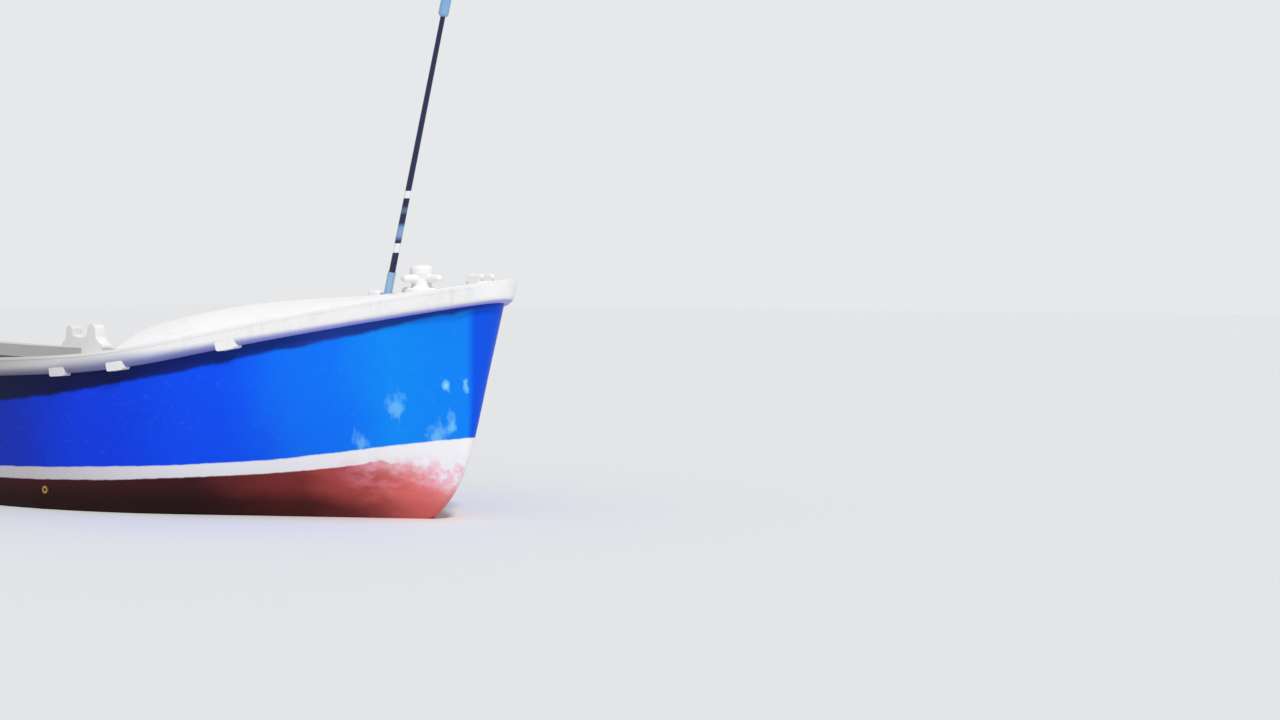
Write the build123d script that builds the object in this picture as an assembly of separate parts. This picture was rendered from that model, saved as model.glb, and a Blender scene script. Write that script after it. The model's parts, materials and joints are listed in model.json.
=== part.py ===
"""A small open launch afloat: smooth moulded hull, raised cambered foredeck, inboard engine."""
from build123d import *
import os
from math import atan2, copysign, cos, degrees, pi, radians, sin, sqrt, tan

os.makedirs("parts", exist_ok=True)

# Millimetres. +X is forward, +Y is port, +Z is up. The origin is amidships on the centreline,
# at the level the boat floats to.

# Hull form
HULL_WALL = 12.0
BOTTOM_WALL = 16.0
TRANSOM_X = -2800.0
TRANSOM_WALL = 40.0
HULL_TOP_Z = 1260.0
HULL_DEEP_Z = -700.0
HALF_SPAN = 1300.0
LENGTHWISE = (-4000.0, 4000.0)
ATHWART = (-HALF_SPAN, HALF_SPAN)
UPRIGHT = (-1000.0, 2000.0)

# One row for each level of the outer skin:
# (z, stem_x, nose_radius, entry_fullness, widest_x, half_breadth, stern_x, stern_half_breadth)
# entry_fullness runs from 1, a straight wedge, to 2, one round arc.
WATERLINES = [
    (-340.0, 950.0, 22.0, 1.60, 0.0, 80.0, -1000.0, 50.0),
    (-315.0, 1300.0, 23.0, 1.58, 0.0, 225.0, -1370.0, 124.0),
    (-290.0, 1560.0, 24.0, 1.55, 0.0, 340.0, -1650.0, 190.0),
    (-250.0, 1748.0, 25.0, 1.50, 20.0, 462.0, -1920.0, 265.0),
    (-210.0, 1900.0, 26.0, 1.45, 50.0, 560.0, -2150.0, 330.0),
    (-160.0, 2062.0, 27.0, 1.40, 90.0, 644.0, -2460.0, 380.0),
    (-110.0, 2200.0, 28.0, 1.35, 150.0, 710.0, -2750.0, 420.0),
    (-55.0, 2322.0, 30.0, 1.31, 220.0, 765.0, -2890.0, 530.0),
    (0.0, 2420.0, 32.0, 1.28, 300.0, 808.0, -2950.0, 620.0),
    (180.0, 2588.0, 42.0, 1.38, 300.0, 868.0, -2950.0, 735.0),
    (420.0, 2684.0, 60.0, 1.55, 300.0, 908.0, -2950.0, 795.0),
    (760.0, 2770.0, 92.0, 1.75, 300.0, 945.0, -2950.0, 830.0),
    (HULL_TOP_Z, 2886.0, 135.0, 1.90, 280.0, 975.0, -2950.0, 850.0),
]
JOIN_ROW = 8

# Sheer line, seen from the side: (x, z) of the underside of the rubbing strake
SHEER_STERN = (-2950.0, 752.0)
SHEER_LOW = (-800.0, 660.0)
SHEER_WAIST = (750.0, 700.0)
SHEER_SHOULDER = (1450.0, 789.0)
SHEER_BOW = (3050.0, 1096.0)

# Rubbing strake and gunwale capping
STRAKE_HEIGHT = 78.0
STRAKE_PROUD = 42.0
STRAKE_ROUNDING = 38.0

# Where the lengths of the strake and of the gunwale cap butt together, on both sides
STRAKE_BUTT_XS = [-1400.0, 200.0, 1550.0]
CAP_BUTT_XS = [-1550.0, -250.0]
CAP_THICKNESS = 14.0
CAP_WIDTH = 130.0
CAP_OVERHANG = 2.0
INWALE_WIDTH = 22.0
INWALE_DEPTH = 60.0

# Pads on the strake's rounded foot: x of each, and how far they reach above and below that foot
PAD_XS = [785.0, 1140.0, 1727.0]
PAD_LENGTH = 95.0
PAD_RISE = 32.0
PAD_DROP = 12.0
PAD_ROUNDING = 10.0
PAD_PROUD = 3.0

# Foredeck: (x, height of the crown above the deck's edge)
DECK_AFT_X = 1100.0
DECK_WALL = 14.0
DECK_SECTIONS = [
    (DECK_AFT_X, 183.0),
    (1500.0, 170.0),
    (2000.0, 98.0),
    (2450.0, 43.0),
    (3000.0, 8.0),
]
# The camber, as shares of the half breadth and of the crown's height
CROWN_KNEE = (0.58, 0.735)
CROWN_FLARE = (0.90, 0.13)
CROWN_FOOT = 0.965
DECK_BEAM_DEPTH = 80.0
DECK_BEAM_THICKNESS = 32.0
DECK_BEAM_SETBACK = 6.0

# Clearances
SEAT_FIT = 0.3
PIN_FIT = 0.1
SWING_GAP = 6.0

# Keel with its skeg, and the heel under the rudder
KEEL_THICKNESS = 64.0
KEEL_FORE_X = 1700.0
KEEL_FORE_Z = -270.0
KEEL_TURN_X = 1150.0
KEEL_TURN_Z = -372.0
KEEL_TOP_Z = -100.0
SKEG_AFT_X = -2420.0
SKEG_BOTTOM_Z = -530.0
HEEL_AFT_X = -2895.0
HEEL_THICKNESS = 42.0
HEEL_THROAT = 50.0

# Shaft and propeller
SHAFT_ANGLE = 6.0
SHAFT_RADIUS = 14.0
STERN_TUBE_RADIUS = 30.0
STERN_TUBE_LENGTH = 60.0
SHAFT_INSIDE = 180.0
PROPELLER_X = -2555.0
PROPELLER_Z = -322.0
PROPELLER_RADIUS = 152.0
PROPELLER_PITCH = 240.0
PROPELLER_BLADES = 3
HUB_RADIUS = 30.0
HUB_LENGTH = 74.0

# Rudder, hung on the transom
RUDDER_AXIS_X = -2848.0
RUDDER_LEAD = 28.0
RUDDER_THICKNESS = 34.0
RUDDER_CHORD = 370.0
RUDDER_HEAD_CHORD = 150.0
RUDDER_SHOULDER_Z = 110.0
RUDDER_HEAD_Z = 905.0
RUDDER_CORNER = 110.0
RUDDER_SHOULDER_RISE = 150.0
RUDDER_SHOULDER_DROP = 60.0
GUDGEON_ZS = [190.0, 640.0]
GUDGEON_HEIGHT = 26.0
GUDGEON_RADIUS = 18.0
GUDGEON_ARM_THICKNESS = 14.0
GUDGEON_PLATE = (7.0, 68.0, 54.0)
PINTLE_RADIUS = 8.0
HEEL_PIN_RADIUS = 11.0
HEEL_PIN_LENGTH = 26.0
TILLER_LENGTH = 930.0
TILLER_THICKNESS = 42.0
TILLER_RISE = 70.0
TILLER_CHEEK = 12.0
TILLER_CHEEK_DEPTH = 90.0

# Cockpit
SOLE_Z = -70.0
SOLE_THICKNESS = 20.0
SOLE_FORE_X = 2050.0
BOARD_WIDTH = 108.0
BOARD_GAP = 7.0
BOARD_PAIRS = 6
BEARER_XS = [1600.0, 1000.0, 400.0, -200.0, -1500.0, -2100.0]
BEARER_THICKNESS = 40.0
THWART_X = 300.0
THWART_WIDTH = 270.0
THWART_Z = 400.0
THWART_THICKNESS = 32.0
KNEE_THICKNESS = 26.0
KNEE_HEIGHT = 190.0
KNEE_LENGTH = 170.0
BENCH_Z = 330.0
BENCH_THICKNESS = 22.0
BENCH_FRONT_Y = 500.0
BENCH_FORE_X = -250.0
BENCH_FRONT_THICKNESS = 16.0
STERN_BENCH_X = -2280.0
BENCH_NOSING = 18.0

# Engine and its box
BOX_AFT_X = -1250.0
BOX_FORE_X = -450.0
BOX_HALF_WIDTH = 262.0
BOX_TOP_Z = 358.0
BOX_WALL = 18.0
LID_THICKNESS = 22.0
LID_OVERHANG = 12.0
ENGINE_LENGTH = 590.0
ENGINE_HALF_WIDTH = 185.0
ENGINE_HEIGHT = 430.0
ENGINE_Z = -190.0
BEARER_HALF_GAUGE = 150.0
ENGINE_BEARER_WIDTH = 55.0
HINGE_YS = [-170.0, 170.0]
HINGE_RADIUS = 8.0
HINGE_PIN_RADIUS = 4.0
HINGE_KNUCKLE = 28.0
HINGE_LEAF = 3.0
HINGE_REACH = 55.0

# Bollard on the foredeck
BOLLARD_X = 2356.0
BOLLARD_HEIGHT = 130.0
BOLLARD_NECK_RADIUS = 50.0
BOLLARD_HEAD_RADIUS = 57.0
BOLLARD_HEAD_ROUNDING = 24.0
BOLLARD_BASE_RADIUS = 97.0
BOLLARD_BASE_HEIGHT = 18.0
BOLLARD_BASE_BEVEL = 7.0
BOLLARD_ARM_Z = 64.0
BOLLARD_ARM_ROOT_RADIUS = 26.0
BOLLARD_ARM_TIP_RADIUS = 18.0
BOLLARD_ARM_REACH = 130.0

# How far a fitting's foot runs down into the deck's camber, where it is cut to fit
FOOT_DEPTH = 30.0

# Staff in its socket, just aft of the bollard
STAFF_X = 2133.0
STAFF_RAKE = 15.2
SOCKET_RADIUS = 20.0
SOCKET_LENGTH = 116.0
SOCKET_FLOOR = 14.0
SOCKET_FLANGE_RADIUS = 35.0
SOCKET_FLANGE_HEIGHT = 9.0
STAFF_FOOT_RADIUS = 16.0
STAFF_TOP_RADIUS = 12.0
STAFF_LENGTH = 1640.0
STAFF_HEAD_RADIUS = 25.0
STAFF_HEAD_LENGTH = 240.0
STAFF_HEAD_TAPER = 10.0
STAFF_END_CAP = 20.0

# Small deck fittings
DECK_EYE_LENGTH = 80.0
DECK_EYE_WIDTH = 46.0
DECK_EYE_HEIGHT = 27.0
DECK_EYE_ROUNDING = 16.0
DECK_EYE_GAP = 6.0
DECK_EYE_X = STAFF_X - SOCKET_FLANGE_RADIUS - DECK_EYE_GAP - DECK_EYE_LENGTH / 2
FAIRLEAD_X = 2735.0
FAIRLEAD_LENGTH = 150.0
FAIRLEAD_WIDTH = 120.0
FAIRLEAD_BASE = 12.0
FAIRLEAD_HORN_RADIUS = 13.0
FAIRLEAD_HORN_HEIGHT = 46.0

# Thole chock on each gunwale, seen from the side: (x from the notch, z above the chock's foot)
CHOCK_X = 905.0
CHOCK_FOOT_Z = 838.0
CHOCK_WIDTH = 62.0
CHOCK_AFT_HORN = (-110.0, -50.0)
CHOCK_FORE_HORN = (46.0, 120.0)
CHOCK_HORN_HEIGHT = 112.0
CHOCK_NOTCH_HEIGHT = 44.0
CHOCK_BASE = (-132.0, 164.0)
CHOCK_BASE_THICKNESS = 18.0
CHOCK_BOLSTER = (10.0, 150.0)

# Stern fittings
CLEAT_X = -2350.0
CLEAT_LENGTH = 210.0
CLEAT_HEIGHT = 46.0
CLEAT_BAR_RADIUS = 11.0
EYE_Y = 560.0
EYE_Z = 420.0
EYE_HOLE_RADIUS = 12.0
EYE_THICKNESS = 10.0
EYE_REACH = 30.0
EYE_PLATE_THICKNESS = 8.0
EYE_PLATE_WIDTH = 56.0
EYE_PLATE_MARGIN = 12.0
EXHAUST_Y = -330.0
EXHAUST_Z = 170.0
EXHAUST_RADIUS = 30.0
EXHAUST_BORE = 22.0
EXHAUST_LENGTH = 34.0
EXHAUST_END_WALL = 3.0
EXHAUST_FLANGE = (14.0, 7.0)
SKIN_FITTING_X = 560.0
SKIN_FITTING_Z = 105.0
SKIN_FITTING_RADIUS = 20.0
SKIN_FITTING_PROUD = 16.0


def entry_geometry(row):
    """Angle, straight length and arc radius of the bow half of one waterline."""
    z, stem_x, nose_radius, fullness, widest_x, half_breadth, stern_x, stern_y = row
    angle = fullness * atan2(half_breadth - nose_radius, stem_x - nose_radius - widest_x)
    across = half_breadth - nose_radius * cos(angle)
    along = stem_x - nose_radius + nose_radius * sin(angle) - widest_x
    straight = across * sin(angle) / (1 - cos(angle)) - along
    radius = (along * sin(angle) - across * cos(angle)) / (1 - cos(angle))
    return angle, straight, radius


def stern_arc_radius(row):
    """Radius of the arc from the widest place to the stern corner of one waterline."""
    z, stem_x, nose_radius, fullness, widest_x, half_breadth, stern_x, stern_y = row
    run = widest_x - stern_x
    drop = half_breadth - stern_y
    return (run * run + drop * drop) / (2 * drop)


def waterline_y(row, x):
    """Half breadth of one waterline at a place along the boat."""
    z, stem_x, nose_radius, fullness, widest_x, half_breadth, stern_x, stern_y = row
    angle, straight, radius = entry_geometry(row)
    nose_x = stem_x - nose_radius
    tangent_x = nose_x + nose_radius * sin(angle)
    if x <= widest_x:
        radius = stern_arc_radius(row)
        return half_breadth - radius + sqrt(max(radius ** 2 - (widest_x - x) ** 2, 0))
    if x <= tangent_x - straight * cos(angle):
        return half_breadth - radius + sqrt(radius ** 2 - (x - widest_x) ** 2)
    if x <= tangent_x:
        return nose_radius * cos(angle) + (tangent_x - x) * tan(angle)
    return sqrt(max(nose_radius ** 2 - (x - nose_x) ** 2, 0))


def hull_y(x, z):
    """Half breadth of the outer skin at a place and height."""
    for low, high in zip(WATERLINES, WATERLINES[1:]):
        if z <= high[0]:
            share = (z - low[0]) / (high[0] - low[0])
            return (1 - share) * waterline_y(low, x) + share * waterline_y(high, x)
    return waterline_y(WATERLINES[-1], x)


def waterline_face(row, inset, lift):
    """One level of the hull as a face, moved inwards by inset and up by lift."""
    z, stem_x, nose_radius, fullness, widest_x, half_breadth, stern_x, stern_y = row
    angle, straight, radius = entry_geometry(row)
    round_radius = nose_radius - inset
    nose_x = stem_x - nose_radius
    shoulder = (nose_x + round_radius * sin(angle), round_radius * cos(angle))
    entry = (shoulder[0] - straight * cos(angle), shoulder[1] + straight * sin(angle))
    widest = (widest_x, half_breadth - inset)
    end_x = stern_x + inset
    aft_radius = stern_arc_radius(row)
    aft_y = half_breadth - aft_radius + sqrt((aft_radius - inset) ** 2 - (widest_x - end_x) ** 2)
    corner = (end_x, aft_y)

    def other_side(point):
        return (point[0], -point[1])

    edges = [
        TangentArc(widest, corner, tangent=(-1, 0)),
        TangentArc(widest, entry, tangent=(1, 0)),
        Line(entry, shoulder),
        ThreePointArc(shoulder, (nose_x + round_radius, 0), other_side(shoulder)),
        Line(other_side(shoulder), other_side(entry)),
        TangentArc(other_side(widest), other_side(entry), tangent=(1, 0)),
        TangentArc(other_side(widest), other_side(corner), tangent=(-1, 0)),
        Line(other_side(corner), corner),
    ]
    return Pos(0, 0, z + lift) * make_face(edges)


def hull_bottom(inset, lift=0.0):
    """The hull form below the level of JOIN_ROW, moved inwards by inset and raised at its deepest."""
    rows = WATERLINES[: JOIN_ROW + 1]
    faces = [waterline_face(row, inset, lift * row[0] / rows[0][0]) for row in rows]
    return loft(faces, ruled=True)


def hull_topsides(inset):
    """The hull form above the level of JOIN_ROW, moved inwards by inset.

    The smooth loft takes in one level of the bottom, so that it runs on into it.
    """
    faces = [waterline_face(row, inset, 0) for row in WATERLINES[JOIN_ROW - 1 :]]
    return loft(faces) & slab(LENGTHWISE, ATHWART, (WATERLINES[JOIN_ROW][0], HULL_TOP_Z))


def slab(x_range, y_range, z_range):
    """A box given by its low and high places on each axis."""
    size = [high - low for low, high in (x_range, y_range, z_range)]
    middle = [(high + low) / 2 for low, high in (x_range, y_range, z_range)]
    return Pos(*middle) * Box(*size)


def side_profile(edges, half_width, y=0.0):
    """A face drawn in the side view, as a solid of some width about a place across the boat."""
    face = Plane.XZ * make_face(edges)
    return Pos(0, y, 0) * extrude(face, half_width, both=True)


def closed_lines(points):
    """The lines round a closed outline of corner points."""
    return [Line(p, q) for p, q in zip(points, points[1:] + points[:1])]


def arc_between(start, end, angle):
    """Centre, signed radius and end angle of the arc that leaves start at an angle."""
    run, rise = end[0] - start[0], end[1] - start[1]
    normal = (-sin(angle), cos(angle))
    radius = (run * run + rise * rise) / (2 * (run * normal[0] + rise * normal[1]))
    centre = (start[0] + radius * normal[0], start[1] + radius * normal[1])
    return centre, radius, 2 * atan2(rise, run) - angle


def sheer_z(x):
    """Height of the strake's underside at a place along the boat."""
    if x < SHEER_LOW[0]:
        x = 2 * SHEER_LOW[0] - x
        points = [SHEER_LOW, (2 * SHEER_LOW[0] - SHEER_STERN[0], SHEER_STERN[1])]
    else:
        points = [SHEER_LOW, SHEER_WAIST, SHEER_SHOULDER, SHEER_BOW]
    angle = 0.0
    for start, end in zip(points, points[1:]):
        centre, radius, end_angle = arc_between(start, end, angle)
        if x <= end[0]:
            break
        angle = end_angle
    return centre[1] - copysign(sqrt(radius ** 2 - (x - centre[0]) ** 2), radius)


def sheer_edges(offset):
    """The sheer line as arcs, moved up by offset, from the stern to the bow."""
    stern, low, waist, shoulder, bow = [
        (x, z + offset) for x, z in (SHEER_STERN, SHEER_LOW, SHEER_WAIST, SHEER_SHOULDER, SHEER_BOW)
    ]
    first = TangentArc(low, stern, tangent=(-1, 0))
    second = TangentArc(low, waist, tangent=(1, 0))
    third = TangentArc(waist, shoulder, tangent=second % 1)
    fourth = TangentArc(shoulder, bow, tangent=third % 1)
    return [first, second, third, fourth]


def under_sheer(offset):
    """All that lies below the sheer line moved up by offset."""
    foot_aft = (SHEER_STERN[0], HULL_DEEP_Z)
    foot_fore = (SHEER_BOW[0], HULL_DEEP_Z)
    edges = sheer_edges(offset) + [
        Line((SHEER_BOW[0], SHEER_BOW[1] + offset), foot_fore),
        Line(foot_fore, foot_aft),
        Line(foot_aft, (SHEER_STERN[0], SHEER_STERN[1] + offset)),
    ]
    return side_profile(edges, HALF_SPAN)


def deck_section(x, crown):
    """One cross section of all that lies below the foredeck's top."""
    edge_z = sheer_z(x) + STRAKE_HEIGHT + CAP_THICKNESS
    breadth = max(hull_y(x, sheer_z(x) + STRAKE_HEIGHT) + STRAKE_PROUD, STRAKE_PROUD)

    def camber(y_share, z_share):
        return (y_share * breadth, edge_z + z_share * crown)

    def other_side(point):
        return (-point[0], point[1])

    top = camber(0, 1)
    knee = camber(*CROWN_KNEE)
    flare = camber(*CROWN_FLARE)
    foot = camber(CROWN_FOOT, 0)
    inner = TangentArc(top, knee, tangent=(1, 0))
    outer = TangentArc(knee, flare, tangent=inner % 1)
    margin = (HALF_SPAN, edge_z)
    deep = (HALF_SPAN, HULL_DEEP_Z)
    half = [outer, TangentArc(flare, foot, tangent=outer % 1), Line(foot, margin), Line(margin, deep)]
    edges = [ThreePointArc(knee, top, other_side(knee)), Line(deep, other_side(deep))]
    edges += half + [edge.mirror(Plane.YZ) for edge in half]
    return Pos(x, 0, 0) * (Plane.YZ * make_face(edges))


def port_half(shape):
    """What lies on the port side of the centreline."""
    return shape & slab(LENGTHWISE, (0, HALF_SPAN), UPRIGHT)


def starboard_half(shape):
    """What lies on the starboard side of the centreline."""
    return shape & slab(LENGTHWISE, (-HALF_SPAN, 0), UPRIGHT)


def flip(shape):
    """The same shape on the other side of the boat."""
    return shape.mirror(Plane.XZ)


def rod(start, end, radius):
    """A round rod between two places."""
    start, end = Vector(*start), Vector(*end)
    along = end - start
    plane = Plane(origin=start, z_dir=along)
    return plane * Cylinder(radius, along.length, align=(Align.CENTER, Align.CENTER, Align.MIN))


def round_ended_rod(start, end, radius):
    """A round rod with a ball at each end."""
    return rod(start, end, radius) + Pos(*start) * Sphere(radius) + Pos(*end) * Sphere(radius)


def turned(profile):
    """A solid turned about Z from (radius, height) corner points."""
    return revolve(Plane.XZ * make_face(closed_lines(profile)), Axis.Z)


# Bodies that the pieces are cut from
outer_bottom, outer_topsides = hull_bottom(0), hull_topsides(0)
inner_bottom, inner_topsides = hull_bottom(HULL_WALL, BOTTOM_WALL), hull_topsides(HULL_WALL)
liner = hull_bottom(HULL_WALL + SEAT_FIT, BOTTOM_WALL + SEAT_FIT) + hull_topsides(HULL_WALL + SEAT_FIT)
strake_body = hull_topsides(-STRAKE_PROUD)
cap_body = hull_topsides(-STRAKE_PROUD - CAP_OVERHANG)

below_deck_top = loft([deck_section(x, crown) for x, crown in DECK_SECTIONS])
below_deck = Pos(0, 0, -DECK_WALL) * below_deck_top
fore_region = slab((DECK_AFT_X, SHEER_BOW[0]), ATHWART, UPRIGHT)
aft_region = slab((TRANSOM_X, DECK_AFT_X), ATHWART, UPRIGHT)
cap_bottom_height = STRAKE_HEIGHT
cap_top_height = STRAKE_HEIGHT + CAP_THICKNESS
under_cap = under_sheer(cap_bottom_height)
under_cap_top = under_sheer(cap_top_height)
under_top = (below_deck & fore_region) + (under_cap & aft_region)
ahead_of_transom = slab((TRANSOM_X, LENGTHWISE[1]), ATHWART, UPRIGHT)
inside_transom = slab((TRANSOM_X + TRANSOM_WALL, LENGTHWISE[1]), ATHWART, UPRIGHT)
cockpit = liner & slab((TRANSOM_X + TRANSOM_WALL + SEAT_FIT, DECK_AFT_X), ATHWART, UPRIGHT)


def hull_shell():
    """The moulded skin, open on top, with its thicker transom."""
    bottom = (outer_bottom & ahead_of_transom) - (inner_bottom & inside_transom)
    topsides = (outer_topsides & under_top) - (inner_topsides & inside_transom)
    return bottom + topsides


def on_strake_foot(edge):
    """Whether an edge runs along the foot of the strake's outer face."""
    middle = edge @ 0.5
    on_sheer = abs(middle.Z - sheer_z(middle.X)) < 1
    on_outer_face = abs(middle.Y) - hull_y(middle.X, middle.Z) > STRAKE_PROUD / 2
    return on_sheer and on_outer_face and edge.length > 1.1 * STRAKE_PROUD


def in_lengths(shape, butt_xs):
    """A long piece as several, with a fine gap at each butt joint."""
    for x in butt_xs:
        shape = shape - slab((x - SEAT_FIT / 2, x + SEAT_FIT / 2), ATHWART, UPRIGHT)
    return shape


def strakes():
    """The white rubbing strake, rounded at its foot, in lengths down the port and starboard sides."""
    ring = (strake_body & under_top) - under_sheer(0) - outer_topsides
    half = starboard_half(ring)
    half = fillet([edge for edge in half.edges() if on_strake_foot(edge)], STRAKE_ROUNDING)
    half = in_lengths(half, STRAKE_BUTT_XS)
    return flip(half), half


def gunwale_caps():
    """The capping on each side of the cockpit, in lengths, with the inwale that hangs from its inner edge."""
    def inner_edge(distance):
        """What lies further inboard than a distance from the strake's outer face."""
        row = (0, *WATERLINES[-2][1:])
        face = waterline_face(row, distance - STRAKE_PROUD, HULL_DEEP_Z)
        return extrude(face, amount=UPRIGHT[1] - HULL_DEEP_Z)

    flat = (cap_body & under_cap_top & aft_region) - under_cap - inner_edge(CAP_WIDTH)
    rail = inner_edge(CAP_WIDTH - INWALE_WIDTH) & under_cap & inside_transom & aft_region
    rail = rail - inner_edge(CAP_WIDTH) - under_sheer(cap_bottom_height - INWALE_DEPTH)
    ring = in_lengths(flat + (rail & liner), CAP_BUTT_XS)
    return port_half(ring), starboard_half(ring)


def transom_cap():
    """The board along the transom's top, between the two cappings."""
    half_width = waterline_y(WATERLINES[-2], TRANSOM_X) + STRAKE_PROUD - CAP_WIDTH - SEAT_FIT
    z = sheer_z(TRANSOM_X) + cap_bottom_height
    board = slab((TRANSOM_X, TRANSOM_X + CAP_WIDTH), (-half_width, half_width), (z, z + CAP_THICKNESS + 10))
    return fillet(board.edges().group_by(Axis.Z)[-1], 5) - under_cap


def strake_pads(strake):
    """Small pads that stand on the strake's rounded foot, three on each side."""
    outline = RectangleRounded(PAD_LENGTH, PAD_RISE + PAD_DROP, PAD_ROUNDING)
    blocks = None
    for x in PAD_XS:
        slope = degrees(atan2(sheer_z(x + PAD_LENGTH) - sheer_z(x - PAD_LENGTH), 2 * PAD_LENGTH))
        place = Pos(x, 0, sheer_z(x) + (PAD_RISE - PAD_DROP) / 2)
        block = extrude(place * (Plane.XZ * (Rot(0, 0, slope) * outline)), HALF_SPAN, both=True)
        blocks = block if blocks is None else blocks + block
    starboard = starboard_half(hull_topsides(-STRAKE_PROUD - PAD_PROUD) & blocks) - strake - outer_topsides
    return starboard + flip(starboard)


def deck_beam():
    """The cambered beam under the foredeck's after edge."""
    x = DECK_AFT_X + DECK_BEAM_SETBACK
    beam = below_deck & liner & slab((x, x + DECK_BEAM_THICKNESS), ATHWART, UPRIGHT)
    return beam - Pos(0, 0, -DECK_BEAM_DEPTH) * below_deck


def on_deck(shape):
    """A fitting cut to sit on the foredeck's curved top."""
    return shape - below_deck_top


def crown_z(x):
    """Height of the foredeck's crown on the centreline."""
    probe = Line((x, 0, HULL_DEEP_Z + 1), (x, 0, UPRIGHT[1]))
    return (probe & below_deck_top).bounding_box().max.Z


def bollard():
    """A cruciform mooring post with a round base."""
    base, neck = BOLLARD_BASE_RADIUS, BOLLARD_NECK_RADIUS
    top, bevel = BOLLARD_BASE_HEIGHT, BOLLARD_BASE_BEVEL
    post = turned([
        (0, -FOOT_DEPTH), (base, -FOOT_DEPTH), (base, top - bevel), (base - bevel, top),
        (neck + bevel, top + 2), (neck, top + bevel), (neck, BOLLARD_ARM_Z),
        (BOLLARD_HEAD_RADIUS, BOLLARD_ARM_Z + BOLLARD_ARM_ROOT_RADIUS),
        (BOLLARD_HEAD_RADIUS, BOLLARD_HEIGHT), (0, BOLLARD_HEIGHT),
    ])
    post = fillet(post.edges().group_by(Axis.Z)[-1], BOLLARD_HEAD_ROUNDING)
    reach = BOLLARD_ARM_REACH - BOLLARD_ARM_TIP_RADIUS
    arm = turned([(0, 0), (BOLLARD_ARM_ROOT_RADIUS, 0), (BOLLARD_ARM_TIP_RADIUS, reach), (0, reach)])
    arm += Pos(0, 0, reach) * Sphere(BOLLARD_ARM_TIP_RADIUS)
    for turn in (0, 90, 180, 270):
        post += Pos(0, 0, BOLLARD_ARM_Z) * Rot(0, 0, turn) * Rot(0, 90, 0) * arm
    return on_deck(Pos(BOLLARD_X, 0, crown_z(BOLLARD_X)) * post)


def stem_fairlead():
    """A pair of rounded horns on a plate at the stemhead, which lead a line over the bow."""
    outline = SlotOverall(FAIRLEAD_LENGTH, FAIRLEAD_WIDTH)
    plate = extrude(Pos(0, 0, -FOOT_DEPTH) * outline, amount=FOOT_DEPTH + FAIRLEAD_BASE)
    radius = FAIRLEAD_HORN_RADIUS
    half = FAIRLEAD_WIDTH / 2 - 1.5 * radius
    reach = FAIRLEAD_LENGTH / 2 - 3 * radius
    top_z = FAIRLEAD_HORN_HEIGHT - radius
    for side in (-half, half):
        cheek = slab((-reach, reach), (side - radius, side + radius), (0, top_z))
        plate += cheek + round_ended_rod((-reach, side, top_z), (reach, side, top_z), radius)
    return on_deck(Pos(FAIRLEAD_X, 0, crown_z(FAIRLEAD_X)) * plate)


def deck_eye():
    """A low rounded fitting on the centreline, aft of the staff."""
    outline = SlotOverall(DECK_EYE_LENGTH, DECK_EYE_WIDTH)
    body = extrude(Pos(0, 0, -FOOT_DEPTH) * outline, amount=FOOT_DEPTH + DECK_EYE_HEIGHT)
    body = fillet(body.edges().group_by(Axis.Z)[-1], DECK_EYE_ROUNDING)
    return on_deck(Pos(DECK_EYE_X, 0, crown_z(DECK_EYE_X)) * body)


def staff_place():
    """The staff's foot, as a place whose Z runs up the raked staff."""
    rake = radians(STAFF_RAKE)
    return Plane(origin=(STAFF_X, 0, crown_z(STAFF_X)), x_dir=(cos(rake), 0, -sin(rake)),
                 z_dir=(sin(rake), 0, cos(rake)))


def staff_socket():
    """The tube that the staff stands in, with its deck flange."""
    place = staff_place()
    tube = rod((0, 0, -FOOT_DEPTH), (0, 0, SOCKET_LENGTH), SOCKET_RADIUS)
    tube -= rod((0, 0, SOCKET_FLOOR), (0, 0, SOCKET_LENGTH + 1), STAFF_FOOT_RADIUS + PIN_FIT)
    flange = Cylinder(SOCKET_FLANGE_RADIUS, 2 * FOOT_DEPTH, align=(Align.CENTER, Align.CENTER, Align.MAX))
    flange = Pos(STAFF_X, 0, crown_z(STAFF_X) + SOCKET_FLANGE_HEIGHT) * flange
    flange -= place * rod((0, 0, SOCKET_FLOOR), (0, 0, SOCKET_LENGTH), STAFF_FOOT_RADIUS + PIN_FIT)
    return on_deck(place * tube + flange)


def staff():
    """The tapered staff, from the socket's floor to its head."""
    foot, end = SOCKET_FLOOR + SEAT_FIT, STAFF_LENGTH - STAFF_END_CAP
    body = turned([
        (0, foot), (STAFF_FOOT_RADIUS, foot), (STAFF_FOOT_RADIUS, 1.2 * SOCKET_LENGTH),
        (STAFF_TOP_RADIUS, STAFF_LENGTH - STAFF_HEAD_LENGTH), (STAFF_TOP_RADIUS, end), (0, end),
    ])
    return staff_place() * body


def staff_head():
    """The thicker sleeve with a rounded cap at the staff's top."""
    low = STAFF_LENGTH - STAFF_HEAD_LENGTH
    taper = STAFF_HEAD_TAPER
    body = turned([
        (STAFF_TOP_RADIUS, low + 1.2 * taper), (STAFF_HEAD_RADIUS - 0.6 * taper, low),
        (STAFF_HEAD_RADIUS, low + taper), (STAFF_HEAD_RADIUS, STAFF_LENGTH - 1.2 * taper),
        (STAFF_HEAD_RADIUS - taper, STAFF_LENGTH), (0, STAFF_LENGTH),
        (0, STAFF_LENGTH - STAFF_END_CAP), (STAFF_TOP_RADIUS, STAFF_LENGTH - STAFF_END_CAP),
    ])
    return staff_place() * body


def cap_middle_y(x):
    """Distance from the centreline to the middle of the capping."""
    return hull_y(x, sheer_z(x) + STRAKE_HEIGHT) + STRAKE_PROUD - CAP_WIDTH / 2


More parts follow.
